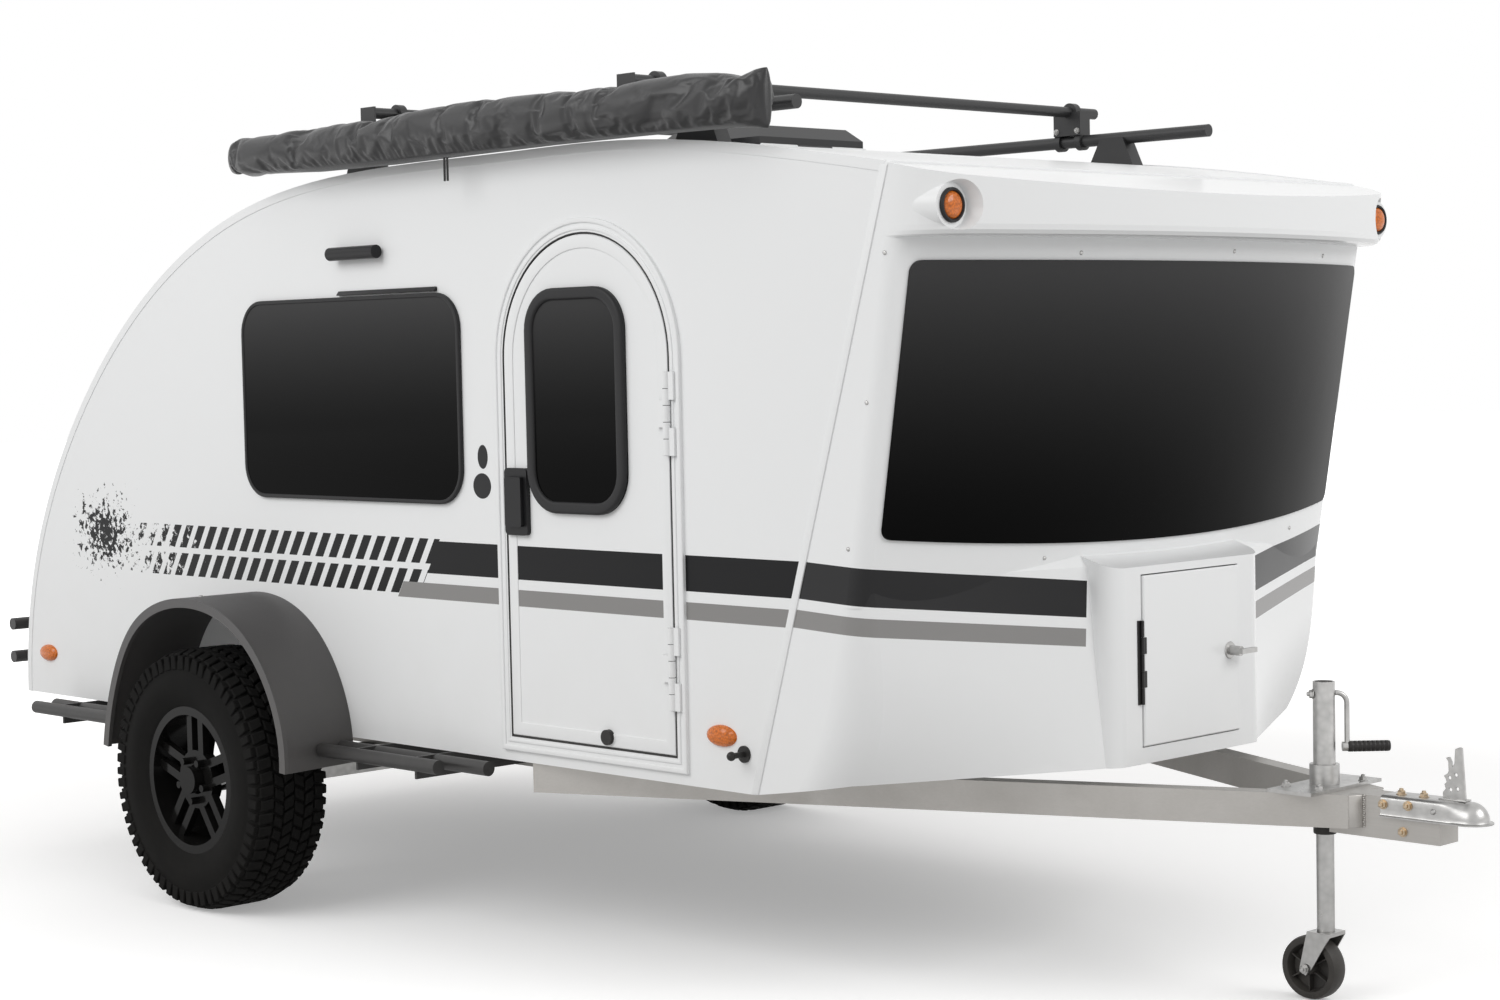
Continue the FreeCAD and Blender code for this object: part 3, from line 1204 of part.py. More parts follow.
for side_name, side in (("right", -1), ("left", 1)):
    wheel_y = wheel_line * side

    def outwards(points):
        return [(y * side, r) for y, r in points]

    tyre = revolved("tyre_%s_body" % side_name, outwards(tyre_profile), wheel_y)
    keep("tyre_" + side_name, group("tyre_%s_set" % side_name, [tyre]))
    rim_barrel = revolved("rim_%s_barrel" % side_name, outwards(barrel_profile), wheel_y)
    pad_low = S.rim_pad_offset
    pad_high = S.rim_pad_offset + S.rim_pad
    pad_profile = [(pad_low, S.hub_bore_radius), (pad_high, S.hub_bore_radius), (pad_high, S.rim_pad_radius),
                   (pad_low, S.rim_pad_radius)]
    rim_pad = revolved("rim_%s_pad" % side_name, outwards(pad_profile), wheel_y)
    rim_inside = Part.makeCylinder(value(barrel_in + S.rim_barrel / 2), value(S.rim_half_width * 2),
                                   vec(0, wheel_y - S.rim_half_width, S.tyre_radius), FreeCAD.Vector(0, 1, 0))
    spokes = []
    for k in range(spoke_count):
        for lean in (-1, 1):
            spoke = Part.makeBox(value(S.rim_spoke_width), value(S.rim_spoke_depth),
                                 value(barrel_in - S.rim_pad_radius + S.rim_barrel + S.rim_pad / 2),
                                 vec(S.rim_spoke_spread * lean - S.rim_spoke_width / 2, -S.rim_spoke_depth / 2,
                                     S.rim_pad_radius - S.rim_pad / 2))
            turn = FreeCAD.Rotation(FreeCAD.Vector(0, 1, 0), 360 / spoke_count * k)
            centre_y = wheel_y + (pad_high - S.rim_spoke_depth / 2) * side
            spoke.Placement = FreeCAD.Placement(vec(0, centre_y, S.tyre_radius), turn).multiply(spoke.Placement)
            spokes.append(feature("spoke_%s_%d_%d" % (side_name, k, lean + 1), spoke.common(rim_inside)))
    keep("rim_" + side_name, fuse("rim_%s_body" % side_name, [rim_barrel, rim_pad] + spokes))

    drum_in = hub_inner - wheel_line
    drum_out = drum_in + S.drum_width
    bore = S.spindle_radius + S.fit_gap
    hub_face = pad_low - S.fit_gap
    cap_face = pad_high + S.hub_cap_reach
    hub_profile = [
        (drum_in, bore), (drum_in, S.drum_radius), (drum_out, S.drum_radius),
        (drum_out, S.hub_bore_radius), (hub_face - S.drum_flange, S.hub_bore_radius),
        (hub_face - S.drum_flange, S.rim_pad_radius), (hub_face, S.rim_pad_radius),
        (hub_face, S.hub_cap_radius), (cap_face, S.hub_cap_radius), (cap_face, 0), (pad_high, 0),
        (pad_high, bore),
    ]
    hub = revolved("hub_%s_core" % side_name, outwards(hub_profile), wheel_y)
    lugs = []
    for k in range(lug_count):
        angle = math.radians(360 / lug_count * (k + 0.5))
        start = wheel_y + pad_high if side > 0 else wheel_y - pad_high - S.lug_height
        lugs.append(rod("lug_%s_%d" % (side_name, k), S.lug_circle_radius * math.sin(angle), start,
                        S.tyre_radius + S.lug_circle_radius * math.cos(angle), "y", S.lug_height, S.lug_radius))
    keep("hub_" + side_name, group("hub_%s_set" % side_name, [hub] + lugs))


# Fenders: an arch lofted from the wall out to its lip
fender_shares = [(-1, 0), (-0.86, 0.45), (-0.60, 0.80), (-0.02, 1), (0.60, 0.84), (0.93, 0.42), (1, 0)]


def fender_curve(narrow, y):
    """The arch seen from the side, narrowed at each end, at the distance y from the middle."""
    points = []
    for along, up in fender_shares:
        reach = S.fender_front if along > 0 else S.fender_rear
        points.append(vec((reach - narrow) * along, y, S.fender_bottom + (S.fender_top - S.fender_bottom) * up))
    curve = Part.BSplineCurve()
    curve.interpolate(Points=points)
    return curve


def arch_wire(narrow, y, thick):
    outer = fender_curve(narrow, y)
    inner = inset_curve(outer, thick, lambda t: FreeCAD.Vector(t.z, 0, -t.x))
    ends = [curve.value(p) for curve in (outer, inner) for p in (curve.FirstParameter, curve.LastParameter)]
    return Part.Wire([outer.toShape(), Part.makeLine(ends[1], ends[3]), inner.toShape(),
                      Part.makeLine(ends[2], ends[0])])


def fender():
    lip_y = S.fender_lip_width - fender_y
    skin = loft([arch_wire(S.fender_flare, -S.body_half_width - S.fit_gap, S.fender_skin),
                 arch_wire(0, lip_y, S.fender_skin)])
    lip = Part.Face(arch_wire(0, lip_y, S.fender_lip)).extrude(vec(0, -S.fender_lip_width, 0))
    return skin.fuse(lip)


fender_shape = fender()
keep("fender_right", feature("fender_right_arch", fender_shape))
keep("fender_left", feature("fender_left_arch",
                            fender_shape.mirror(FreeCAD.Vector(0, 0, 0), FreeCAD.Vector(0, 1, 0))))


# Side tubes ahead of and behind each wheel, on brackets from the frame
def side_tubes(side):
    parts = []
    runs = [
        ("front", S.side_tube_rear, S.side_tube_front, S.side_tube_step),
        ("rear", rear_tube_rear, S.rear_tube_front, as_size(0)),
    ]
    for name, low, high, step in runs:
        for row_name, y, extra in (("outer", side_tube_outer_y, as_size(0)), ("inner", side_tube_inner_y, step)):
            parts.append(rod("%s_%s_tube_%d" % (name, row_name, side + 1), low, y * side, S.side_tube_z, "x",
                             high - low + extra, S.tube_radius))
        for share in (0.3, 0.8):
            start_y = frame_rail_y + S.rail_width / 2
            reach = side_tube_outer_y - start_y
            x = low + (high - low) * share
            parts.append(block("%s_outrigger_%d_%d" % (name, side + 1, int(share * 10)), x,
                               start_y if side > 0 else -start_y - reach,
                               S.side_tube_z - S.outrigger_depth + S.tube_radius - S.fit_gap,
                               S.outrigger_thick, reach, S.outrigger_depth))
    return parts


for side_name, side in (("right", -1), ("left", 1)):
    keep("side_tubes_" + side_name, fuse("side_tube_set_" + side_name, side_tubes(side)))

# The whole outline of the cabin, filled, for cutting what is seated on it
roof_filled = Part.Face(wall_wire).extrude(vec(0, S.body_half_width * 2, 0)).translated(
    vec(0, -S.body_half_width, 0))

# Rear bumper: two tubes on posts from the rear wall
bumper_tubes = [Part.makeCylinder(value(S.tube_radius), value(S.body_half_width * 2),
                                  vec(bumper_x, -S.body_half_width, z), FreeCAD.Vector(0, 1, 0))
                for z in (S.bumper_high, S.bumper_low)]
bumper_posts = [Part.makeBox(value(S.overrun - bumper_x - S.rear_reach), value(S.bumper_post),
                             value(S.bumper_high - S.bumper_low + S.bumper_post * 2),
                             vec(bumper_x, S.bumper_post_y * side - S.bumper_post / 2,
                                 S.bumper_low - S.bumper_post)) for side in (-1, 1)]
bumper = bumper_tubes[0].fuse(bumper_tubes[1:] + bumper_posts).cut(roof_filled.translated(vec(-S.fit_gap, 0, 0)))
keep("rear_bumper", feature("rear_bumper_set", bumper))


# Roof rack: rails on feet, bars on saddles, brackets for the awning
def rack_foot(name, x, side):
    y = rack_y * side
    low_rear = roof_height_at(value(x - S.foot_length_bottom / 2))
    low_front = roof_height_at(value(x + S.foot_length_bottom / 2))
    outline = [(x - S.foot_length_bottom / 2, y, low_rear), (x + S.foot_length_bottom / 2, y, low_front),
               (x + S.foot_length_top / 2, y, rack_z), (x - S.foot_length_top / 2, y, rack_z)]
    slab = Part.Face(polygon(outline)).extrude(vec(0, S.foot_width, 0)).translated(vec(0, -S.foot_width / 2, 0))
    return feature(name, slab.cut(roof_filled))


rack_parts = []
for i, side in enumerate((-1, 1)):
    parts = [rod("rack_rail_%d" % i, S.rack_rear, rack_y * side, rack_z, "x", S.rack_front - S.rack_rear,
                 S.rack_tube_radius)]
    for k, x in enumerate((S.foot_rear_x, S.foot_front_x)):
        parts.append(rack_foot("rack_foot_%d_%d" % (i, k), x, side))
    rack_parts.append(fuse("rack_side_%d" % i, parts))
keep("rack_rails", group("rack_rail_pair", rack_parts))
bar_parts = []
for i, x in enumerate((S.bar_rear_x, S.bar_front_x)):
    parts = [rod("rack_bar_%d" % i, x, -bar_half_length, bar_z, "y", bar_half_length * 2,
                 S.rack_bar_radius)]
    saddle_z = rack_z + S.rack_tube_radius + S.fit_gap
    for k, side in enumerate((-1, 1)):
        parts.append(block("rack_saddle_%d_%d" % (i, k), x - S.saddle_length / 2,
                           rack_y * side - S.saddle_width / 2, saddle_z, S.saddle_length, S.saddle_width,
                           bar_z - saddle_z))
        parts.append(rod("rack_ring_%d_%d" % (i, k), x, rack_y * side - S.collar_width / 2, bar_z, "y",
                         S.collar_width, S.collar_radius))
        for lean in (-1, 1):
            clamp_x = x + S.clamp_spread * lean - S.clamp_width / 2
            ring = rod("rack_clamp_%d_%d_%d" % (i, k, lean + 1), clamp_x, rack_y * side, rack_z, "x",
                       S.clamp_width, S.clamp_radius)
            bore = rod("rack_clamp_bore_%d_%d_%d" % (i, k, lean + 1), clamp_x, rack_y * side, rack_z, "x",
                       S.clamp_width, S.rack_tube_radius + S.fit_gap)
            parts.append(cut("rack_clamp_ring_%d_%d_%d" % (i, k, lean + 1), ring, [bore]))
    bracket_y = -awning_y + S.awning_half_depth + S.fit_gap
    parts.append(block("awning_bracket_%d" % i, x - S.bracket_width / 2, bracket_y, awning_z,
                       S.bracket_width, S.bracket_thick, bar_z + S.rack_bar_radius - awning_z))
    bar_parts.append(fuse("rack_bar_set_%d" % i, parts))
keep("rack_bars", group("rack_bar_pair", bar_parts))


# Rolled awning in its bag
def awning_section(x, share):
    half_h = S.awning_half_height * share
    half_d = S.awning_half_depth
    back = -awning_y + half_d
    front = -awning_y - half_d * share
    mid = (back + front) / 2
    top = vec(x, mid, awning_z + half_h)
    bottom = vec(x, mid, awning_z - half_h)
    shoulder = half_h * 0.7
    return Part.Wire([
        Part.makeLine(vec(x, back, awning_z - shoulder), vec(x, back, awning_z + shoulder)),
        Part.Arc(vec(x, back, awning_z + shoulder), top, vec(x, front, awning_z)).toShape(),
        Part.Arc(vec(x, front, awning_z), bottom, vec(x, back, awning_z - shoulder)).toShape(),
    ])


end_run = S.awning_end_share_length
awning = Part.makeLoft([awning_section(S.awning_rear, 0.6), awning_section(S.awning_rear + end_run, 1),
                        awning_section(S.awning_front - end_run, 1), awning_section(S.awning_front, 0.6)],
                       True, True)
keep("awning_bag", feature("awning_roll", awning))

# Roof vent: curb on the roof and a hinged lid
vent_low = min(roof_height_at(value(S.vent_x - S.vent_half)), roof_height_at(value(S.vent_x + S.vent_half)))
vent_top = S.roof_height + S.vent_curb
curb = Part.makeBox(value(S.vent_half * 2), value(S.vent_half * 2), value(vent_top) - vent_low,
                    vec(S.vent_x - S.vent_half, -S.vent_half, vent_low))
curb_hole = Part.makeBox(value(S.vent_hole_half * 2), value(S.vent_hole_half * 2), value(S.roof_height),
                         vec(S.vent_x - S.vent_hole_half, -S.vent_hole_half, S.roof_height / 2))
vent_hinge_x = S.vent_x + S.vent_half + S.vent_hinge_radius + S.fit_gap
vent_hinge_z = vent_top + S.vent_lid_gap / 2
vent_third = S.vent_half * 2 / 3


def along_y(radius, length, start):
    return Part.makeCylinder(value(radius), value(length), vec(vent_hinge_x, start, vent_hinge_z),
                             FreeCAD.Vector(0, 1, 0))


curb = curb.cut(roof_filled).cut(curb_hole)
curb_fittings = [along_y(S.vent_hinge_pin_radius, S.vent_half * 2, -S.vent_half)]
for start in (-S.vent_half, vent_third / 2):
    curb_fittings.append(along_y(S.vent_hinge_radius, vent_third - S.hinge_play, start + S.hinge_play / 2))
    curb_fittings.append(Part.makeBox(value(S.vent_hinge_radius + S.fit_gap), value(vent_third - S.hinge_play),
                                      value(S.vent_hinge_radius),
                                      vec(S.vent_x + S.vent_half, start + S.hinge_play / 2,
                                          vent_top - S.vent_hinge_radius)))
keep("vent_base", feature("vent_curb", curb.fuse(curb_fittings)))
lid_low = vent_top + S.vent_lid_gap
lid_outer = Part.makeBox(value(S.vent_half * 2), value(S.vent_half * 2), value(S.vent_lid_height),
                         vec(S.vent_x - S.vent_half, -S.vent_half, lid_low))
top_edges = [e for e in lid_outer.Edges if e.CenterOfMass.z > value(lid_low + S.fit_gap)
             and e.BoundBox.ZLength < value(S.fit_gap)]
lid_outer = lid_outer.makeChamfer(value(S.vent_lid_height * 0.6), top_edges)
lid_inner = Part.makeBox(value(S.vent_hole_half * 2), value(S.vent_hole_half * 2), value(S.vent_lid_skin * 2),
                         vec(S.vent_x - S.vent_hole_half, -S.vent_hole_half, lid_low - S.vent_lid_skin))
lid_length = vent_third - S.hinge_play
lid_start = (-vent_third + S.hinge_play) / 2
lid_arm = Part.makeBox(value(S.vent_hinge_radius + S.fit_gap), value(lid_length), value(S.vent_hinge_radius),
                       vec(S.vent_x + S.vent_half, lid_start, lid_low))
lid_knuckle = along_y(S.vent_hinge_radius, lid_length, lid_start).fuse(lid_arm).cut(
    along_y(S.vent_hinge_pin_radius + S.fit_gap, S.vent_half * 2, -S.vent_half))
keep("vent_lid", feature("vent_lid_shell", lid_outer.cut(lid_inner).fuse(lid_knuckle)))


# Lamps and small fittings
def oval_lamp(x, side):
    """A domed oval lens on the side wall, lofted from rings that shrink outwards."""
    rings = []
    for out, width in oval_shares:
        y = (S.body_half_width + S.marker_depth * out) * side
        oval = Part.Ellipse(vec(x + S.marker_half_length * width, y, S.marker_z),
                            vec(x, y, S.marker_z + S.marker_half_height * width), vec(x, y, S.marker_z))
        rings.append(Part.Wire(oval.toShape()))
    return loft(rings)


oval_shares = [(0, 1), (0.35, 0.95), (0.7, 0.78), (0.92, 0.5), (1, 0.2)]
markers = [oval_lamp(x, side) for x in (S.marker_front_x, marker_rear_x) for side in (-1, 1)]
keep("side_markers", feature("side_marker_set", Part.makeCompound(markers)))


def wall_line_x(z):
    """Where the rear wall is at a height, by cutting the roof line with a level one."""
    level = Part.LineSegment(vec(-S.rear_reach - S.overrun, 0, z), vec(0, 0, z))
    return min(hit.X for hit in roof_line().intersectCC(level))


tail_front = wall_line_x(S.tail_lamp_z + S.tail_lamp_half_height)
tail_lamps = []
for side in (-1, 1):
    box = Part.makeBox(tail_front + value(S.rear_reach), value(S.tail_lamp_half_width * 2),
                       value(S.tail_lamp_half_height * 2),
                       vec(-S.rear_reach - S.tail_lamp_depth / 2,
                           tail_lamp_y * side - S.tail_lamp_half_width,
                           S.tail_lamp_z - S.tail_lamp_half_height))
    tail_lamps.append(box.cut(roof_filled))
keep("tail_lamps", feature("tail_lamp_pair", Part.makeCompound(tail_lamps)))
porch_bar = rod("porch_bar", S.porch_x - S.porch_half_length, outer_y - S.porch_base - S.porch_radius, porch_z, "x",
                S.porch_half_length * 2, S.porch_radius)
porch_seat = block("porch_seat", S.porch_x - S.porch_half_length * 0.8, outer_y - S.porch_base - S.porch_radius / 2,
                   porch_z - S.porch_radius / 2, S.porch_half_length * 1.6, S.porch_base + S.porch_radius / 2,
                   S.porch_radius)
keep("porch_light", fuse("porch_light_set", [porch_bar, porch_seat]))

# Check and write
doc.recompute()
for part in doc.Objects:
    state = [word for word in part.State if word in ("Invalid", "Error")]
    if state:
        raise RuntimeError("%s is %s" % (part.Name, state))
os.makedirs("parts", exist_ok=True)
for node, part in kept.items():
    shape = part.Shape
    if shape.isNull() or not shape.isValid() or not shape.Solids:
        raise RuntimeError("sub-part %s has no valid solid" % node)
    shape.exportStep("parts/%s.step" % node)
    bounds = shape.BoundBox
    print("%-16s solids %d volume %.4f dm3  x %.0f..%.0f y %.0f..%.0f z %.0f..%.0f" % (
        node, len(shape.Solids), shape.Volume / 1e6, bounds.XMin, bounds.XMax, bounds.YMin, bounds.YMax,
        bounds.ZMin, bounds.ZMax))
print("nodes", len(kept))
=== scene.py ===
import math

import bmesh
import bpy
from mathutils import Matrix, Vector


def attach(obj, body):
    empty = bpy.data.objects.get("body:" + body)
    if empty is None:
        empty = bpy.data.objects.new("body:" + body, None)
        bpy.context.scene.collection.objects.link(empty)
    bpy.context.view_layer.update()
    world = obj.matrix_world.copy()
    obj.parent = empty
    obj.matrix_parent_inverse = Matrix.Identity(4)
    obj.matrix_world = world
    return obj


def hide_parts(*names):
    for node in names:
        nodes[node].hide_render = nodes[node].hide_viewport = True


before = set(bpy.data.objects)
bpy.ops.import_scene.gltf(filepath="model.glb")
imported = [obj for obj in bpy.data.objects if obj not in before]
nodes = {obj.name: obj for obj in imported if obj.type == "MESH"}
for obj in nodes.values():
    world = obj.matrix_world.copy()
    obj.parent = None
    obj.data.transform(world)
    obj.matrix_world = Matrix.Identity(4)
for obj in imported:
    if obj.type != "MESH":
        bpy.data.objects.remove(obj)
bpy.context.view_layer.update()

bpy.ops.object.select_all(action="DESELECT")

# Camera
# A long lens from ahead of the door side, a little below the top of the windows, as the
# photographer stood. It is placed by the edges of the cabin, so it leans slightly.
camera_place = Vector((5.5181, -5.3119, 1.5272))
camera_heading = math.radians(45.62)
camera_pitch = math.radians(-3.08)
camera_lean = math.radians(-1.185)
camera_lens = 65.4
ahead = Vector((-math.sin(camera_heading) * math.cos(camera_pitch),
                math.cos(camera_heading) * math.cos(camera_pitch), math.sin(camera_pitch)))
level_right = Vector((math.cos(camera_heading), math.sin(camera_heading), 0))
level_up = level_right.cross(ahead)
right = level_right * math.cos(camera_lean) + level_up * math.sin(camera_lean)
up = level_up * math.cos(camera_lean) - level_right * math.sin(camera_lean)
bpy.ops.object.camera_add(location=camera_place)
camera = bpy.context.object
camera.rotation_euler = Matrix((right, up, -ahead)).transposed().to_euler()
camera.data.lens = camera_lens
camera.data.sensor_width = 36
camera.data.clip_start = 0.1
camera.data.clip_end = 100
bpy.context.scene.camera = camera

# Light
# Even daylight from a bright sky, with one broad lamp high on the door side and a weaker one
# ahead, so that the side is the palest face and the nose a little darker.
def put(given, socket):
    """Set a socket to a number or a colour, or link it to a value or to another socket."""
    if isinstance(given, Value):
        given = given.socket
    if isinstance(given, bpy.types.NodeSocket):
        socket.id_data.links.new(given, socket)
    else:
        socket.default_value = given


def figure(operation, *terms):
    """The result of a math node on terms that are values or, all but one, numbers."""
    tree = next(term.socket.id_data for term in terms if isinstance(term, Value))
    made = tree.nodes.new("ShaderNodeMath")
    made.operation = operation
    for term, socket in zip(terms, made.inputs):
        put(term, socket)
    return Value(made.outputs[0])


class Value:
    """A node's output. A sign between two of them, or with a number, makes a math node."""

    def __init__(self, socket):
        self.socket = socket

    def __add__(self, other):
        return figure("ADD", self, other)

    def __sub__(self, other):
        return figure("SUBTRACT", self, other)

    def __rsub__(self, other):
        return figure("SUBTRACT", other, self)

    def __mul__(self, other):
        return figure("MULTIPLY", self, other)

    def __truediv__(self, other):
        return figure("DIVIDE", self, other)

    def __pow__(self, other):
        return figure("POWER", self, other)

    def __gt__(self, other):
        return figure("GREATER_THAN", self, other)

    def __lt__(self, other):
        return figure("LESS_THAN", self, other)

    def __abs__(self):
        return figure("ABSOLUTE", self)


def add_node(tree, kind, **given):
    """A shader node; each word is one of its settings or, with _ for a space, an input."""
    made = tree.nodes.new("ShaderNode" + kind)
    for name, what in given.items():
        if hasattr(made, name):
            setattr(made, name, what)
        else:
            put(what, made.inputs[name.replace("_", " ")])
    return made


def rays(tree):
    """1 for the rays straight from the camera, and for those and what mirrors and glass show."""
    path = add_node(tree, "LightPath").outputs
    straight = Value(path["Is Camera Ray"])
    mirrored = figure("MAXIMUM", straight, Value(path["Is Glossy Ray"]))
    return straight, figure("MAXIMUM", mirrored, Value(path["Is Transmission Ray"]))


world = bpy.data.worlds.new("studio_sky")
bpy.context.scene.world = world
world.use_nodes = True
sky = world.node_tree
sky.nodes.clear()
sky_light = add_node(sky, "Background", Color=(1.0, 0.99, 0.98, 1), Strength=0.65)
sky_seen = add_node(sky, "Background", Color=(1, 1, 1, 1), Strength=1.0)
sky_mix = add_node(sky, "MixShader", Fac=rays(sky)[1])
put(sky_light.outputs[0], sky_mix.inputs[1])
put(sky_seen.outputs[0], sky_mix.inputs[2])
add_node(sky, "OutputWorld", Surface=sky_mix.outputs[0])


def softbox(name, place, target, size, power):
    bpy.ops.object.light_add(type="AREA", location=place)
    lamp = bpy.context.object
    lamp.name = name
    lamp.data.shape = "RECTANGLE"
    lamp.data.size, lamp.data.size_y = size
    lamp.data.energy = power
    aim = Vector(target) - Vector(place)
    lamp.rotation_euler = aim.to_track_quat("-Z", "Y").to_euler()


softbox("door_side_lamp", (-1.0, -7.0, 5.5), (0, 0, 1.0), (7, 4), 245)
softbox("nose_lamp", (7.0, 1.5, 4.5), (1.0, 0, 1.0), (4, 3), 150)


# Floor
# A plain white sweep that fades into the white sky. A little of its white is its own, and all
# of it far off, so that the soft shadows under the tyres and the caster stay. It throws less
# light back up than it shows, as a dark road would.
def new_finish(name, base, rough, metallic=0.0, shine=0.5):
    """A material with its Principled shader, ready for detail."""
    made = bpy.data.materials.new(name)
    made.use_nodes = True
    shader = made.node_tree.nodes["Principled BSDF"]
    for socket, given in (("Base Color", base), ("Roughness", rough), ("Metallic", metallic),
                          ("Specular IOR Level", shine)):
        shader.inputs[socket].default_value = given
    return made, made.node_tree, shader


def tint(tree, mask, base, over):
    """Base with over laid on it where the mask is 1; each is a colour or an output."""
    made = add_node(tree, "Mix", data_type="RGBA", Factor=mask)
    put(base, made.inputs[6])
    put(over, made.inputs[7])
    return made.outputs[2]


floor_seen, floor_lit = (0.9, 0.9, 0.9, 1), (0.55, 0.55, 0.55, 1)
fade_near, fade_far = 3.0, 7.5
own_white_near, own_white_far = 0.30, 1.0
bpy.ops.mesh.primitive_plane_add(size=90, location=(0, 0, 0))
floor_plane = bpy.context.object
floor_plane.name = "studio_floor"
floor_white, floor_tree, floor_shader = new_finish("studio_white", floor_seen, 0.9, shine=0.0)
straight_rays, seen_rays = rays(floor_tree)
put(tint(floor_tree, straight_rays, floor_lit, floor_seen), floor_shader.inputs["Base Color"])
floor_place = add_node(floor_tree, "TexCoord").outputs["Object"]
away = add_node(floor_tree, "VectorMath", operation="LENGTH", Vector=floor_place)
fade = add_node(floor_tree, "MapRange", interpolation_type="SMOOTHSTEP", From_Min=fade_near,
                From_Max=fade_far, To_Min=own_white_near, To_Max=own_white_far,
                Value=away.outputs["Value"])
glow = add_node(floor_tree, "Emission", Strength=seen_rays * Value(fade.outputs["Result"]))
both = add_node(floor_tree, "AddShader")
put(floor_shader.outputs[0], both.inputs[0])
put(glow.outputs[0], both.inputs[1])
put(both.outputs[0], floor_tree.nodes["Material Output"].inputs["Surface"])
floor_plane.data.materials.append(floor_white)


# Cabin panels
# Gloss white sheet bonded over a frame: slightly uneven in the light, with road dust low down.
# The black and grey bands are vinyl, as is the worn track pattern that fades towards the rear.
def place_of(tree):
    """The point on the trailer, and its x, y and z."""
    where = add_node(tree, "TexCoord").outputs["Object"]
    return [where] + [Value(part) for part in add_node(tree, "SeparateXYZ", Vector=where).outputs]


def texture(tree, kind, where, **settings):
    """A texture over the trailer: its strength or, for cells, how far their middles are."""
    made = add_node(tree, "Tex" + kind, **settings, Vector=where)
    return Value(made.outputs["Distance" if kind == "Voronoi" else "Fac"])


def bumps(tree, shader, height, strength, distance):
    bump = add_node(tree, "Bump", Strength=strength, Distance=distance, Height=height)
    put(bump.outputs["Normal"], shader.inputs["Normal"])


def new_group(name, result, **starts):
    """A node group with number inputs and one result: the group, its inputs and the result."""
    group = bpy.data.node_groups.new(name, "ShaderNodeTree")
    for title, start in starts.items():
        socket = group.interface.new_socket(title.replace("_", " "), in_out="INPUT",
                                            socket_type="NodeSocketFloat")
        socket.default_value = start
    group.interface.new_socket(result, in_out="OUTPUT", socket_type="NodeSocketFloat")
    given = group.nodes.new("NodeGroupInput").outputs[:len(starts)]
    return group, [Value(socket) for socket in given], group.nodes.new("NodeGroupOutput").inputs[0]


def from_group(tree, group, *numbers):
    """What a node group makes of the numbers at its inputs."""
    made = add_node(tree, "Group", node_tree=group)
    for socket, number in zip(made.inputs, numbers):
        socket.default_value = number
    return Value(made.outputs[0])


def make_soiling():
    """Dust that gathers in broken patches below a height."""
    group, (height, amount, scale), mask = new_group(
        "soiling", "Mask", Height=0.9, Amount=0.1, Scale=9.0)
    where, x, y, z = place_of(group)
    patches = texture(group, "Noise", where, Detail=5.0, Roughness=0.62, Scale=scale)
    low = figure("MAXIMUM", (height - z) / height, 0.0)
    put(low * patches * amount, mask)
    return group


def make_unevenness():
    """A height for bumps: slow waves of a hand-finished sheet, with a fine peel over them."""
    group, (wave_size, wave, peel_size, peel), height = new_group(
        "unevenness", "Height", Wave_Size=2.0, Wave=0.5, Peel_Size=260.0, Peel=0.1)
    where = place_of(group)[0]
    slow = texture(group, "Noise", where, Detail=1.0, Scale=wave_size)
    fast = texture(group, "Noise", where, Detail=3.0, Scale=peel_size)
    put(slow * wave + fast * peel, height)
    return group


soiling = make_soiling()
unevenness = make_unevenness()


def soil(tree, height, amount, scale=9.0):
    return from_group(tree, soiling, height, amount, scale)


def roughen(tree, shader, wave_size, wave, peel_size, peel, strength, distance):
    """Bumps from the unevenness group on the shader's normal."""
    height = from_group(tree, unevenness, wave_size, wave, peel_size, peel)
    bumps(tree, shader, height, strength, distance)


def coat(name, base, rough, uneven, shine=0.5, dust=None, dusty=None):
    """An even coat; uneven holds the numbers for roughen, dust those for soil."""
    made, tree, shader = new_finish(name, base, rough, shine=shine)
    if dust:
        put(tint(tree, soil(tree, *dust), base, dusty), shader.inputs["Base Color"])
    roughen(tree, shader, *uneven)
    return made


white = (0.86, 0.87, 0.875, 1)
vinyl_black = (0.012, 0.012, 0.013, 1)
vinyl_grey = (0.27, 0.265, 0.26, 1)
black_band, grey_band = (0.966, 1.052), (0.898, 0.940)
black_band_rear, grey_band_rear = -0.205, -0.335
band_slant = 0.62
half_width, wall_face = 0.908, 0.905


def within(height, low, high):
    """1 between two heights, with a crisp cut edge."""
    return (height > low) * (height < high)


def band(x, z, heights, rear):
    """A vinyl band whose rear end is cut on a slant."""
    return within(z, *heights) * (x > z * band_slant + (rear - heights[0] * band_slant))


def track_pattern(tree, where, x, z):
    """Two rows of slanted bars, worn away to the rear, where they end in a cloud of specks."""
    front, rear = -0.215, -1.93
    low, row, bar = 0.900, 0.083, 0.062
    above = z - low
    along = x - above * band_slant
    rows = above / row
    shifted = along + figure("FLOOR", rows) * 0.021
    bars = figure("FRACT", shifted / bar) < 0.60
    printed = within(figure("FRACT", rows), 0.10, 0.90) * bars
    inside = within(z, low, low + row * 2) * within(along, rear, front - 0.03)
    worn = texture(tree, "Noise", where, Scale=34.0, Detail=6.0, Roughness=0.72)
    left = (x - rear) / (front - rear) + 0.26 > worn
    specks = texture(tree, "Noise", where, Scale=58.0, Detail=4.0, Roughness=0.66)
    far = figure("SQRT", ((x + 1.80) / 0.24) ** 2.0 + ((z - 1.02) / 0.17) ** 2.0)
    return figure("MAXIMUM", printed * left * inside, specks > far * 0.34 + 0.36)


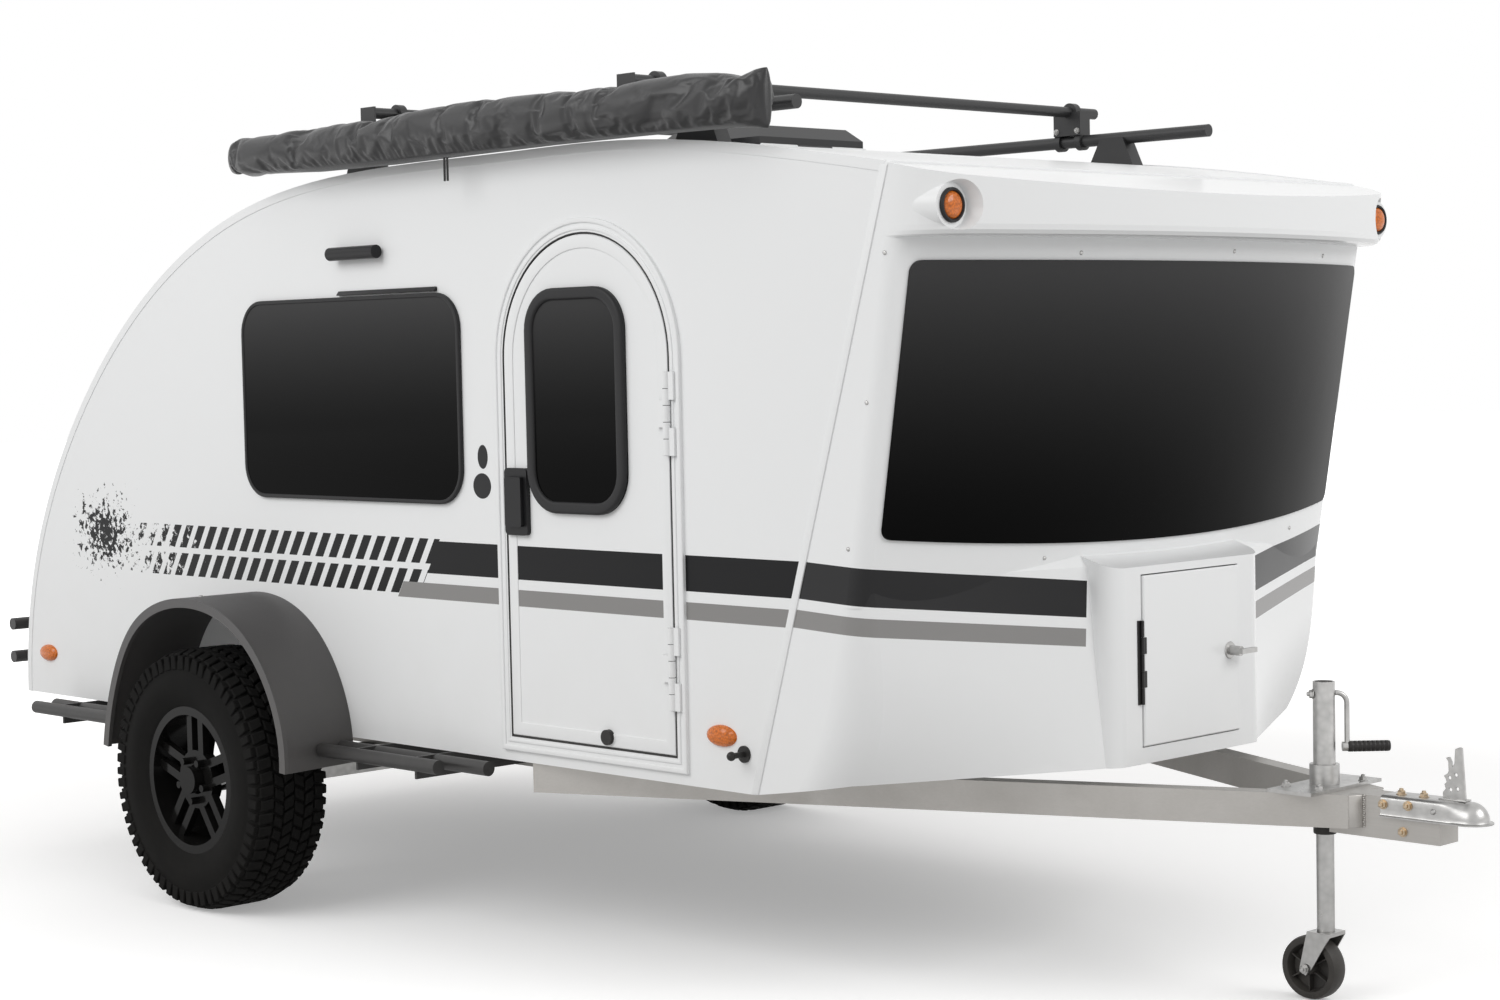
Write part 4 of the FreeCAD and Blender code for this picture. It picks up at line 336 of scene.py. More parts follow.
def cabin_white(name, bands):
    """Gloss white sheet, with the vinyl graphics on its outer face if bands is true."""
    made, tree, shader = new_finish(name, white, 0.3, shine=0.12)
    where, x, y, z = place_of(tree)
    dust = soil(tree, 1.1, 0.22)
    colour = tint(tree, dust, white, (0.55, 0.51, 0.45, 1))
    if bands:
        outside = abs(y) > wall_face
        for mask, vinyl in ((track_pattern(tree, where, x, z), vinyl_black),
                            (band(x, z, black_band, black_band_rear), vinyl_black),
                            (band(x, z, grey_band, grey_band_rear), vinyl_grey)):
            colour = tint(tree, mask * outside, colour, vinyl)
    put(colour, shader.inputs["Base Color"])
    put(dust * 1.5 + 0.28, shader.inputs["Roughness"])
    roughen(tree, shader, 2.2, 1.0, 300.0, 0.004, 0.25, 0.01)
    return made


def dress(material, *names):
    """Give CAD nodes a finish."""
    for name in names:
        piece = nodes[name]
        piece.data.materials.clear()
        piece.data.materials.append(material)


dress(cabin_white("cabin_side_white", True), "side_wall_right", "side_wall_left", "door_panel")
cabin_roof = cabin_white("cabin_roof_white", False)
dress(cabin_roof, "roof_shell", "door_frame", "door_hinges")


# Front cap
# A polyester moulding with a polished white gelcoat. The bands run on over its outer face,
# dropping a little towards the nose, and end in slanted tips ahead of the locker.
cap_dust = (0.58, 0.54, 0.48, 1)


def gelcoat():
    made, tree, shader = new_finish("gelcoat_white", white, 0.2, shine=0.25)
    where, x, y, z = place_of(tree)
    out = abs(y)
    level = z + ((x - 1.187) * 0.05 + (half_width - out) * 0.092)
    side = out > (level - 0.9) * -0.12 + 0.325
    normal = add_node(tree, "TexCoord").outputs["Normal"]
    turned_x, turned_y = add_node(tree, "SeparateXYZ", Vector=normal).outputs[:2]
    outside = (x - 1.0) * Value(turned_x) + y * Value(turned_y) > 0.0
    colour = tint(tree, soil(tree, 1.0, 0.15), white, cap_dust)
    for heights, vinyl in ((black_band, vinyl_black), (grey_band, vinyl_grey)):
        colour = tint(tree, within(level, *heights) * side * outside, colour, vinyl)
    put(colour, shader.inputs["Base Color"])
    roughen(tree, shader, 3.0, 1.0, 420.0, 0.002, 0.18, 0.008)
    return made


dress(gelcoat(), "front_cap")
locker_white = coat("locker_door_white", white, 0.2, (3.0, 1.0, 420.0, 0.002, 0.2, 0.008),
                    dust=(1.0, 0.2), dusty=cap_dust)
dress(locker_white, "nose_door", "vent_base")


# Glazing
# Acrylic panes, tinted almost black, with a painted reflection: their colour grows lighter with
# height, a painted sky at their top and painted ground below.
def glazing_with_painted_reflection(name, low, high):
    made, tree, shader = new_finish(name, (0.01, 0.01, 0.011, 1), 0.05, shine=0.03)
    where, x, y, z = place_of(tree)
    # Painted reflection: the colour goes from near black low down to dark grey at the top, standing
    # for the sky and ground the glass would mirror.
    rise = figure("MAXIMUM", (z - low) / (high - low), 0.0) ** 2.3
    smear = texture(tree, "Noise", where, Scale=3.0, Detail=2.0)
    painted_sky_reflection = tint(tree, rise, (0.002, 0.002, 0.002, 1), (0.062, 0.062, 0.063, 1))
    put(painted_sky_reflection, shader.inputs["Base Color"])
    put(smear * 0.06 + 0.02, shader.inputs["Roughness"])
    return made


dress(glazing_with_painted_reflection("side_glazing", 1.15, 1.70), "window_right", "window_left", "door_window")
dress(glazing_with_painted_reflection("nose_glazing", 1.06, 1.74), "windshield")


# Black plastic and rubber
# Moulded fenders with a fine leather grain, and smoother black fittings.
def grained_black(name, base, rough, grain, depth, shine=0.25):
    made, tree, shader = new_finish(name, base, rough, shine=shine)
    dust = soil(tree, 1.0, 0.5, 14.0)
    put(tint(tree, dust, base, (0.16, 0.145, 0.125, 1)), shader.inputs["Base Color"])
    pores = texture(tree, "Voronoi", place_of(tree)[0], Scale=grain, feature="SMOOTH_F1")
    bumps(tree, shader, pores, 0.5, depth)
    return made


fender_black = grained_black("fender_black", (0.062, 0.060, 0.061, 1), 0.5, 420.0, 0.0007, 0.6)
fitting_black = grained_black("fitting_black", (0.012, 0.012, 0.013, 1), 0.38, 900.0, 0.0002)
dress(fender_black, "fender_right", "fender_left")
dress(fitting_black, "door_handle", "holdback", "nose_hinge", "nose_hinge_base", "porch_light",
      "caster_wheel")


# Black powder coat
# Steel tubes of the rack, side rails and bumper, sprayed and baked, with a fine texture.
powder_black = coat("powder_black", (0.02, 0.02, 0.021, 1), 0.42,
                    (6.0, 0.1, 1400.0, 0.8, 0.25, 0.0004),
                    dust=(0.9, 0.35, 20.0), dusty=(0.17, 0.155, 0.135, 1))
dress(powder_black, "side_tubes_right", "side_tubes_left", "rear_bumper", "rack_rails", "rack_bars")


# Aluminium frame
# Extruded rails, welded and left bare: dull, with drawing lines along them and stained near
# the welds.
def bare_aluminium(name, along):
    made, tree, shader = new_finish(name, (0.45, 0.435, 0.415, 1), 0.42, 0.85)
    where = place_of(tree)[0]
    stretched = add_node(tree, "Mapping", Scale=along, Vector=where).outputs[0]
    lines = texture(tree, "Noise", stretched, Scale=1.0, Detail=4.0)
    stains = texture(tree, "Noise", where, Scale=7.0, Detail=4.0, Roughness=0.6)
    drawn = tint(tree, lines * 0.5, (0.50, 0.485, 0.465, 1), (0.38, 0.37, 0.355, 1))
    put(tint(tree, stains * 0.35, drawn, (0.27, 0.245, 0.215, 1)), shader.inputs["Base Color"])
    put(stains * 0.25 + 0.3, shader.inputs["Roughness"])
    bumps(tree, shader, lines, 0.15, 0.001)
    return made


rail_aluminium = bare_aluminium("rail_aluminium", along=(3.0, 260.0, 260.0))
dress(rail_aluminium, "frame_rails", "cross_members", "tongue_rails", "tongue_tube")


# Zinc plated steel
# The jack, coupler, latch and caster fork, plated bright and gone a little dull.
def zinc_plate():
    made, tree, shader = new_finish("zinc_plate", (0.6, 0.6, 0.6, 1), 0.32, 0.95)
    where = place_of(tree)[0]
    bloom = texture(tree, "Voronoi", where, Scale=60.0)
    cloud = texture(tree, "Noise", where, Scale=18.0, Detail=3.0)
    mottled = tint(tree, bloom * cloud, (0.50, 0.495, 0.485, 1), (0.30, 0.298, 0.293, 1))
    put(mottled, shader.inputs["Base Color"])
    put(cloud * 0.3 + 0.18, shader.inputs["Roughness"])
    return made


zinc = zinc_plate()
dress(zinc, "coupler", "coupler_latch", "jack_tube", "jack_bracket", "jack_crank", "jack_leg",
      "caster_fork", "nose_latch", "axle")


# Wheels
# Cast rims in gloss black with five pairs of spokes, in dull black rubber.
rim_black = coat("rim_black", (0.006, 0.006, 0.006, 1), 0.16, (20.0, 0.2, 500.0, 0.02, 0.12, 0.001),
                 shine=0.13, dust=(1.2, 0.12, 30.0), dusty=(0.06, 0.054, 0.048, 1))
rubber = coat("tyre_rubber", (0.009, 0.009, 0.009, 1), 0.8, (40.0, 0.4, 900.0, 0.3, 0.3, 0.0008),
              shine=0.07, dust=(1.2, 0.16, 22.0), dusty=(0.06, 0.054, 0.046, 1))
dress(rim_black, "rim_right", "rim_left", "hub_right", "hub_left")
dress(rubber, "tyre_right", "tyre_left", "cap_lamps")


# Lamps
# Amber and red lenses over reflectors.
amber = (0.85, 0.2, 0.01, 1)


def lens(name, colour):
    made, tree, shader = new_finish(name, colour, 0.15)
    facets = texture(tree, "Voronoi", place_of(tree)[0], Scale=190.0)
    deep = tuple(part * 0.45 for part in colour[:3]) + (1,)
    put(tint(tree, facets, colour, deep), shader.inputs["Base Color"])
    return made


dress(lens("amber_lens", amber), "side_markers")
dress(lens("red_lens", (0.5, 0.01, 0.01, 1)), "tail_lamps")


# Floor, vent lid and awning bag
# A painted floor board, a smoked dome over the vent, and coated black cloth.
def bag_cloth():
    made, tree, shader = new_finish("bag_cloth", (0.014, 0.014, 0.015, 1), 0.34)
    weave = texture(tree, "Wave", place_of(tree)[0], Scale=220.0)
    bumps(tree, shader, weave, 0.2, 0.0004)
    return made


board_black = coat("board_black", (0.03, 0.03, 0.03, 1), 0.8, (10.0, 0.5, 300.0, 0.4, 0.4, 0.001))
smoked_dome = coat("smoked_dome", (0.012, 0.012, 0.013, 1), 0.12,
                   (8.0, 0.3, 600.0, 0.05, 0.1, 0.001))
coated_cloth = bag_cloth()
dress(board_black, "floor")
dress(smoked_dome, "vent_lid")
dress(coated_cloth, "awning_bag")


# Tyre tread
# All-terrain tyres: a moulded carcass with ribs on its walls, and hard blocks around it that
# interlock in the middle and run down over the shoulders, long and short by turns.
wheel_x, wheel_y, wheel_z = -1.006, 1.046, 0.3668
tyre_outer = 0.3668
groove = 0.011
block_turns = 30


def named(piece, name):
    """The piece, and its mesh, under a name."""
    piece.name = name
    piece.data.name = name
    return piece


def alone(piece):
    bpy.ops.object.select_all(action="DESELECT")
    piece.select_set(True)
    bpy.context.view_layer.objects.active = piece


def settle(piece):
    """Its place goes into its mesh."""
    alone(piece)
    bpy.ops.object.transform_apply(location=True, rotation=True, scale=True)


def joined(name, pieces):
    """Several pieces as one object."""
    bpy.ops.object.select_all(action="DESELECT")
    for piece in pieces:
        piece.select_set(True)
    bpy.context.view_layer.objects.active = pieces[0]
    bpy.ops.object.join()
    return named(bpy.context.object, name)


def copied(piece, name, move=Matrix()):
    """A copy with its own mesh, moved by a matrix."""
    made = piece.copy()
    made.data = piece.data.copy()
    named(made, name)
    bpy.context.collection.objects.link(made)
    made.data.transform(move)
    if move.determinant() < 0:
        made.data.flip_normals()
    return made


def finished(piece, material, slot, body, angle=35):
    """Smooth but for its edges, with its material and its body; slot is not used."""
    settle(piece)
    bpy.ops.object.shade_smooth_by_angle(angle=math.radians(angle))
    piece.data.materials.clear()
    piece.data.materials.append(material)
    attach(piece, body)
    return piece


def modified(piece, kind, **settings):
    """The piece with one modifier worked into its mesh."""
    alone(piece)
    made = piece.modifiers.new(kind.lower(), kind)
    for name, what in settings.items():
        setattr(made, name, what)
    bpy.ops.object.modifier_apply(modifier=made.name)
    return piece


def edit():
    """Edit mode, with the whole mesh selected."""
    bpy.ops.object.mode_set(mode="EDIT")
    bpy.ops.mesh.select_all(action="SELECT")


def face_out():
    """The faces turned outward, and back to object mode."""
    bpy.ops.mesh.select_all(action="SELECT")
    bpy.ops.mesh.normals_make_consistent(inside=False)
    bpy.ops.object.mode_set(mode="OBJECT")


def outlined(name, corners, fill="NOTHING"):
    """A closed line through the corners or, filled with NGON, the face inside it."""
    bpy.ops.mesh.primitive_circle_add(vertices=len(corners), radius=0.1, fill_type=fill)
    made = named(bpy.context.object, name)
    for point, corner in zip(made.data.vertices, corners):
        point.co = corner
    return made


def spun(piece, axis, steps, weld):
    """A section spun once round an axis, with its end welded to its start."""
    edit()
    bpy.ops.mesh.spin(steps=steps, angle=2 * math.pi, center=(0, 0, 0), axis=axis)
    bpy.ops.mesh.select_all(action="SELECT")
    bpy.ops.mesh.remove_doubles(threshold=weld)
    face_out()
    return piece


def tread_block(y_in, y_out, start, end, slant, base, top, drop=0):
    """One block at the top of the wheel, from start to end in degrees, its outer half dropped."""
    bpy.ops.mesh.primitive_cube_add(size=1, location=(0, (y_in + y_out) / 2, (base + top) / 2))
    made = bpy.context.object
    made.scale = (tyre_outer * math.radians(end - start), abs(y_out - y_in), top - base)
    settle(made)
    root_spread = 1.12
    for point in made.data.vertices:
        share = (point.co.y - y_in) / (y_out - y_in)
        point.co.x += slant * (share - 0.5)
        if share > 0.5:
            point.co.z -= drop
        if point.co.z < (base + top) / 2:
            point.co.x *= root_spread
    modified(made, "BEVEL", width=0.0022, segments=1)
    made.data.transform(Matrix.Rotation(math.radians((start + end) / 2), 4, "Y"))
    return made


def tread_turn():
    """The blocks of one step of the pattern, 12 degrees long, on both halves of the tread."""
    root = tyre_outer - groove - 0.004
    wall_base, wall_top = tyre_outer - 0.055, tyre_outer - 0.016
    blocks = []
    for side, phase in ((1, 0), (-1, 3.0)):
        for step, reach, wall_end in ((0, 0.105, 3.9), (6, 0.101, 4.6)):
            for y_in, y_out, start, end, *shape in (
                    (0.068, reach, 0.6, 4.7, 0.007, root, tyre_outer, 0.011),
                    (0.036, 0.062, 2.6, 6.9, -0.013, root, tyre_outer),
                    (0.002, 0.031, 0.4, 4.9, 0.014, root, tyre_outer),
                    (0.1, 0.1168, 0.7, wall_end, 0.0, wall_base, wall_top)):
                blocks.append(tread_block(y_in * side, y_out * side, phase + step + start,
                                          phase + step + end, *shape))
    return joined("tread_turn", blocks)


def tyre_carcass():
    """A section spun round the axle: tread a groove deep below the blocks, ribbed walls."""
    half = [(0.098, 0.205), (0.107, 0.216), (0.1095, 0.231), (0.1125, 0.236), (0.1128, 0.243),
            (0.1150, 0.247), (0.116, 0.270), (0.1155, 0.298), (0.1135, 0.302), (0.1130, 0.318),
            (0.1100, 0.334), (0.104, 0.346), (0.092, 0.3535), (0.06, tyre_outer - groove)]
    section = half + [(0.0, tyre_outer - groove)] + [(-y, r) for y, r in reversed(half)]
    return spun(outlined("carcass", [(0, y, r) for y, r in section]), (0, 1, 0), 90, 0.00005)


def whole_tyre():
    turn = tread_turn()
    turns = [turn] + [copied(turn, "turn", Matrix.Rotation(2 * math.pi * k / block_turns, 4, "Y"))
                      for k in range(1, block_turns)]
    return joined("tyre_tread_right", [tyre_carcass()] + turns)


tread_right = whole_tyre()
tread_left = copied(tread_right, "tyre_tread_left", Matrix.Translation((wheel_x, wheel_y, wheel_z)))
tread_right.data.transform(Matrix.Translation((wheel_x, -wheel_y, wheel_z)))
finished(tread_right, rubber, "tyre_rubber", "wheel_right")
finished(tread_left, rubber, "tyre_rubber", "wheel_left")
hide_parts("tyre_right")
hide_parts("tyre_left")


# Awning bag
# A rolled awning in a bag of coated black cloth, closed by a zip along its bottom and gathered
# at both ends. The cloth is a little too long for the roll, so it lies in slanting folds.
bag_rear, bag_front = -0.976, 1.169
bag_y, bag_z = -0.962, 2.102
rack_bars = (-0.42, 0.612)
cloth_steps = 24
longest_fold = 0.012


def limited(number):
    """The number, kept between 0 and 1."""
    return min(1.0, max(0.0, number))


def rough_bag():
    """A round sleeve with flattened, pinched ends."""
    long = bag_front - bag_rear
    bpy.ops.mesh.primitive_cylinder_add(
        vertices=20, radius=0.061, depth=long - 0.02,
        location=((bag_rear + bag_front) / 2, bag_y, bag_z), rotation=(0, math.pi / 2, 0))
    made = named(bpy.context.object, "awning_cover")
    settle(made)
    bpy.ops.object.mode_set(mode="EDIT")
    for share in (0.02, 0.05, 0.10, 0.2, 0.35, 0.5, 0.65, 0.8, 0.92, 0.96, 0.985):
        bpy.ops.mesh.select_all(action="SELECT")
        bpy.ops.mesh.bisect(plane_co=(bag_rear + long * share, 0, 0), plane_no=(1, 0, 0))
    bpy.ops.object.mode_set(mode="OBJECT")
    for point in made.data.vertices:
        x, y, z = point.co
        from_rear = x - bag_rear - 0.01
        rear_share = limited(from_rear / 0.5)
        front_share = limited((bag_front - 0.01 - x) / 0.09)
        tall = (0.74 + 0.26 * rear_share) * (1.17 - 0.15 * front_share)
        deep = (0.86 + 0.14 * rear_share) * (0.18 + 0.82 * front_share ** 0.6)
        deep *= 0.4 + 0.6 * limited(from_rear / 0.06)
        point.co.z = bag_z + (z - bag_z) * tall - 0.004 * math.sin(3.1 * (x - bag_rear))
        point.co.y = bag_y + (y - bag_y) * deep
    return made


def folded(piece):
    """The cloth gets excess length and a light pressure, held at its ends and along the zip."""
    modified(piece, "REMESH", mode="VOXEL", voxel_size=0.0075)
    rest = [point.co.copy() for point in piece.data.vertices]
    held = piece.vertex_groups.new(name="held")
    for point in piece.data.vertices:
        at_end = point.co.x < bag_rear + 0.03 or point.co.x > bag_front - 0.022
        strap = min(abs(point.co.x - x) for x in rack_bars) < 0.012
        zip_line = point.co.z < bag_z - 0.052
        if at_end or strap or zip_line:
            held.add([point.index], 1.0, "REPLACE")
    cloth = piece.modifiers.new("cloth", "CLOTH")
    cloth.settings.vertex_group_mass = "held"
    cloth.settings.effector_weights.gravity = 0
    cloth.settings.use_pressure = True
    cloth.settings.uniform_pressure_force = 2.2
    cloth.settings.shrink_min = -0.035
    cloth.settings.quality = 5
    cloth.settings.mass = 0.3
    cloth.settings.bending_stiffness = 0.6
    cloth.settings.tension_stiffness = 25
    cloth.settings.compression_stiffness = 25
    cloth.point_cache.frame_start = 1
    cloth.point_cache.frame_end = cloth_steps
    for step in range(1, cloth_steps + 1):
        bpy.context.scene.frame_set(step)
    alone(piece)
    bpy.ops.object.modifier_apply(modifier="cloth")
    bpy.context.scene.frame_set(1)
    piece.vertex_groups.clear()
    for point, start in zip(piece.data.vertices, rest):
        moved = point.co - start
        if moved.length > longest_fold:
            point.co = start + moved * (longest_fold / moved.length)
    modified(piece, "SUBSURF", levels=1, render_levels=1)


awning_cover = rough_bag()
folded(awning_cover)
finished(awning_cover, coated_cloth, "awning_cover", "trailer", 60)
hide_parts("awning_bag")


# Window rings and drip caps
# The door's window sits in a thick black rubber ring and each side window in a thin one. A
# black cap above the side windows keeps the rain off them.
outer_y = -half_width
across = Matrix.Scale(-1, 4, (0, 1, 0))


def arc(x, z, radius, start, end, step):
    """Points round a middle; the turns are in degrees."""
    turns = [math.radians(turn) for turn in range(start, end + 1, step)]
    return [(x + radius * math.cos(turn), z + radius * math.sin(turn)) for turn in turns]


def rounded(x_low, x_high, z_low, z_high, corner):
    """The outline of a plate with round corners, as (x, z) pairs."""
    rear, front, low, high = x_low + corner, x_high - corner, z_low + corner, z_high - corner
    outline = []
    for x, z, start in ((front, low, -90), (front, high, 0), (rear, high, 90), (rear, low, 180)):
        outline += arc(x, z, corner, start, start + 90, 10)
    return outline


def arched(x_low, x_high, z_low, z_high):
    """The outline of a plate with a half-round head."""
    radius = (x_high - x_low) / 2
    head = arc(x_low + radius, z_high - radius, radius, 0, 180, 5)
    return [(x_low, z_low), (x_high, z_low)] + head


def softened(piece, wide, steps=2):
    """Its sharp edges rounded."""
    return modified(piece, "BEVEL", width=wide, segments=steps, limit_method="ANGLE")


def flat_ring(name, outline, wide, y, proud, soft):
    """A ring inside an outline on the door side: an inset plate with its middle out."""
    made = outlined(name, [(x, y, z) for x, z in outline], "NGON")
    edit()
    bpy.ops.mesh.inset(thickness=wide, use_even_offset=True)
    bpy.ops.mesh.delete(type="FACE")
    bpy.ops.mesh.select_all(action="SELECT")
    bpy.ops.mesh.extrude_region_move(TRANSFORM_OT_translate={"value": (0, -proud, 0)})
    face_out()
    return softened(made, soft, 3)


def block(name, low, high, soft):
    """A bar or plate between two corners, with rounded edges."""
    middle = [(a + b) / 2 for a, b in zip(low, high)]
    bpy.ops.mesh.primitive_cube_add(size=1, location=middle)
    made = named(bpy.context.object, name)
    made.scale = [b - a for a, b in zip(low, high)]
    settle(made)
    return softened(made, soft)


def on_both_sides(piece, *finish):
    """A piece for the right side and its mirror copy for the left, finished alike."""
    finished(copied(piece, piece.name.replace("right", "left"), across), *finish)
    finished(piece, *finish)


def drip_cap():
    """A bar whose top leans in to the wall."""
    made = block("drip_cap_right", (-0.560, outer_y - 0.012, 1.706), (-0.130, outer_y, 1.718),
                 0.002)
    for point in made.data.vertices:
        if point.co.y < outer_y - 0.006 and point.co.z > 1.712:
            point.co.y += 0.006
    return made


ring_black = grained_black("ring_black", (0.020, 0.020, 0.021, 1), 0.5, 700.0, 0.0002)
door_ring = flat_ring("door_window_ring", rounded(0.237, 0.605, 1.139, 1.699, 0.106), 0.030,
                      -0.911, 0.018, 0.0075)
finished(door_ring, ring_black, "lamp_rubber", "entry_door", 60)
side_ring = flat_ring("side_window_ring_right", rounded(-1.021, -0.036, 1.150, 1.702, 0.094),
                      0.011, outer_y, 0.012, 0.003)
on_both_sides(side_ring, ring_black, "black_plastic", "trailer", 60)
on_both_sides(drip_cap(), ring_black, "black_plastic", "trailer")


# Entry door trim
# White extrusions: a bead and a lip round the frame, and a wide border round the leaf. A rubber
# seal lies between them, and each hinge has five white knuckles on a dark pin.
white_trim = (cabin_roof, "cabin_paint", "trailer")
black_fitting = (fitting_black, "black_plastic", "trailer")
hinge_x, hinge_y = 0.7552, -0.923
for name, edges, section, finish in (
        ("door_frame_bead", (0.1015, 0.7945, 0.5275, 1.8685), (0.013, -0.912, 0.0065, 0.003),
         white_trim),
        ("door_frame_lip", (0.1235, 0.7725, 0.5495, 1.8465), (0.008, -0.912, 0.0050, 0.002),
         white_trim),
        ("door_seal", (0.1370, 0.7590, 0.5630, 1.8330), (0.0042, -0.907, 0.008, 0.001),
         (ring_black, "lamp_rubber", "trailer")),
        ("door_leaf_border", (0.1433, 0.7527, 0.5693, 1.8267), (0.033, -0.9105, 0.0045, 0.0022),
         (cabin_roof, "cabin_paint", "entry_door"))):
    finished(flat_ring(name, arched(*edges), *section), *finish, 40)


def turned(name, profile, turns=24):
    """A profile of (along, radius) pairs spun round the X axis; it may start and end on it."""
    made = outlined(name, [(along, 0, radius) for along, radius in profile])
    ends = {0, len(profile) - 1}
    if profile[0][1] == 0 and profile[-1][1] == 0:
        for point in made.data.vertices:
            point.select = point.index in ends
        for line in made.data.edges:
            line.select = set(line.vertices) == ends
        bpy.ops.object.mode_set(mode="EDIT")
        bpy.ops.mesh.delete(type="EDGE")
        bpy.ops.object.mode_set(mode="OBJECT")
    return spun(made, (1, 0, 0), turns, 0.00002)


def facing(place, direction):
    """The move that takes a piece turned about X to a place, with X along a direction."""
    turn = Vector((1, 0, 0)).rotation_difference(Vector(direction)).to_matrix().to_4x4()
    return Matrix.Translation(place) @ turn


def set_out(name, pattern, moves):
    """Copies of one piece at several places, as one object."""
    pieces = [copied(pattern, name, move) for move in moves]
    bpy.data.objects.remove(pattern)
    return joined(name, pieces)


knuckle = turned("knuckle", [(0, 0), (0, 0.0088), (0.0008, 0.0096), (0.0378, 0.0096),
                             (0.0386, 0.0088), (0.0386, 0)])
knuckle_moves = [facing((hinge_x, hinge_y, low + 0.04 * step + 0.0007), (0, 0, 1))
                 for low in (0.678, 1.288) for step in range(5)]
finished(set_out("hinge_knuckles", knuckle, knuckle_moves), *white_trim)
pin = turned("pin", [(0, 0), (0, 0.0084), (0.199, 0.0084), (0.199, 0)])
pin_moves = [facing((hinge_x, hinge_y, low), (0, 0, 1)) for low in (0.6785, 1.2885)]
finished(set_out("hinge_pins", pin, pin_moves), *black_fitting)


# Seam cover and screws
# A flat white strip up each side and over the roof hides the joint of the cap and the cabin.
# Bright domed screws hold the cap and the window's rims.
seam_foot, seam_lean, seam_half = 1.0155, 0.3096, 0.011
roof_start, roof_fall = 1.93, 0.19


def sheet(name, columns, rows, bend, thick):
    """A grid of points bent to shape: bend gives the place for a column and a row."""
    bpy.ops.mesh.primitive_grid_add(x_subdivisions=columns, y_subdivisions=rows, size=2)
    made = named(bpy.context.object, name)
    for point in made.data.vertices:
        point.co = bend(round((point.co.x + 1) / 2 * columns), round((point.co.y + 1) / 2 * rows))
    edit()
    bpy.ops.mesh.remove_doubles(threshold=0.00005)
    face_out()
    return modified(made, "SOLIDIFY", thickness=thick, offset=0)


def seam_point(column, row):
    """A point on the strip's rear or front edge; the seam leans forward as it rises."""
    y, z = seam_path[column]
    ahead_by = seam_half if row else -seam_half
    x = seam_foot + seam_lean * (z - 0.5) + ahead_by
    return (x, y, z - roof_fall * ahead_by if z > roof_start else z)


seam_side = [(outer_y, z) for z in (0.502, 0.85, 1.2, 1.55, roof_start)]
seam_side += [(-0.905, 1.937), (-0.898, 1.9401)]
seam_path = seam_side + [(0, 1.9401)] + [(-y, z) for y, z in reversed(seam_side)]
seam_cover = sheet("seam_cover", len(seam_path) - 1, 1, seam_point, 0.007)
finished(softened(seam_cover, 0.0012), *white_trim, 40)
bright = (zinc, "bright_plating", "trailer")
screw = turned("screw", [(-0.001, 0), (-0.001, 0.0052), (0.0006, 0.0052), (0.0022, 0.0042),
                         (0.0032, 0.0022), (0.0034, 0)], 16)
seam_screws = ((1.4549, 1.7411), (1.3931, 1.4128), (1.3285, 1.0855))
screw_places = [facing((x, side * half_width, z), (0, side, 0))
                for x, z in seam_screws for side in (-1, 1)]
screw_places += [facing(place, direction) for place, direction in (
    ((1.6056, -0.412, 1.7404), (0.97, -0.15, -0.16)),
    ((1.6345, 0.1388, 1.7485), (0.98, 0.05, -0.16)),
    ((1.568, 0.6133, 1.7454), (0.96, 0.23, -0.16)),
    ((1.4869, -0.4153, 1.0388), (0.97, -0.15, -0.16)),
    ((1.4458, 0.6321, 1.0455), (0.96, 0.23, -0.16)))]
finished(set_out("cap_screws", screw, screw_places), *bright)


# Roof edge trim
# White extrusions over the corner where each side wall meets the roof and the rear, with a lip
# turned down over the wall. Their line is the wall's own edge.
lip_depth = 0.022


def on_roof_edge(face):
    """True for the faces of the wall's edge that the roof and the rear sheet meet."""
    x, y, z = face.calc_center_median()
    in_window = -1.05 < x < 0 and 1.12 < z < 1.73
    in_door = 0.09 < x < 0.81 and z < 1.88
    on_edge = abs(face.normal.y) < 0.3 and face.normal.x < 0.8 and z > 0.51
    return on_edge and not in_window and not in_door


def roof_trim():
    skin = nodes["side_wall_right"].data.copy()
    skin.materials.clear()
    made = bpy.data.objects.new("roof_trim_right", skin)
    bpy.context.collection.objects.link(made)
    shape = bmesh.new()
    shape.from_mesh(skin)
    bmesh.ops.remove_doubles(shape, verts=shape.verts, dist=0.00001)
    others = [face for face in shape.faces if not on_roof_edge(face)]
    bmesh.ops.delete(shape, geom=others, context="FACES")
    outer = [line for line in shape.edges
             if line.is_boundary and all(point.co.y < outer_y + 0.001 for point in line.verts)]
    ways = {point.index: sum((face.normal for face in point.link_faces), Vector()).normalized()
            for point in shape.verts}
    lower = bmesh.ops.extrude_edge_only(shape, edges=outer)
    for point in [part for part in lower["geom"] if isinstance(part, bmesh.types.BMVert)]:
        root = min((line.other_vert(point) for line in point.link_edges),
                   key=lambda other: (other.co - point.co).length)
        point.co -= ways[root.index] * lip_depth
    bmesh.ops.recalc_face_normals(shape, faces=shape.faces)
    shape.to_mesh(skin)
    shape.free()
    return modified(made, "SOLIDIFY", thickness=0.0045, offset=0)


on_both_sides(roof_trim(), *white_trim, 30)


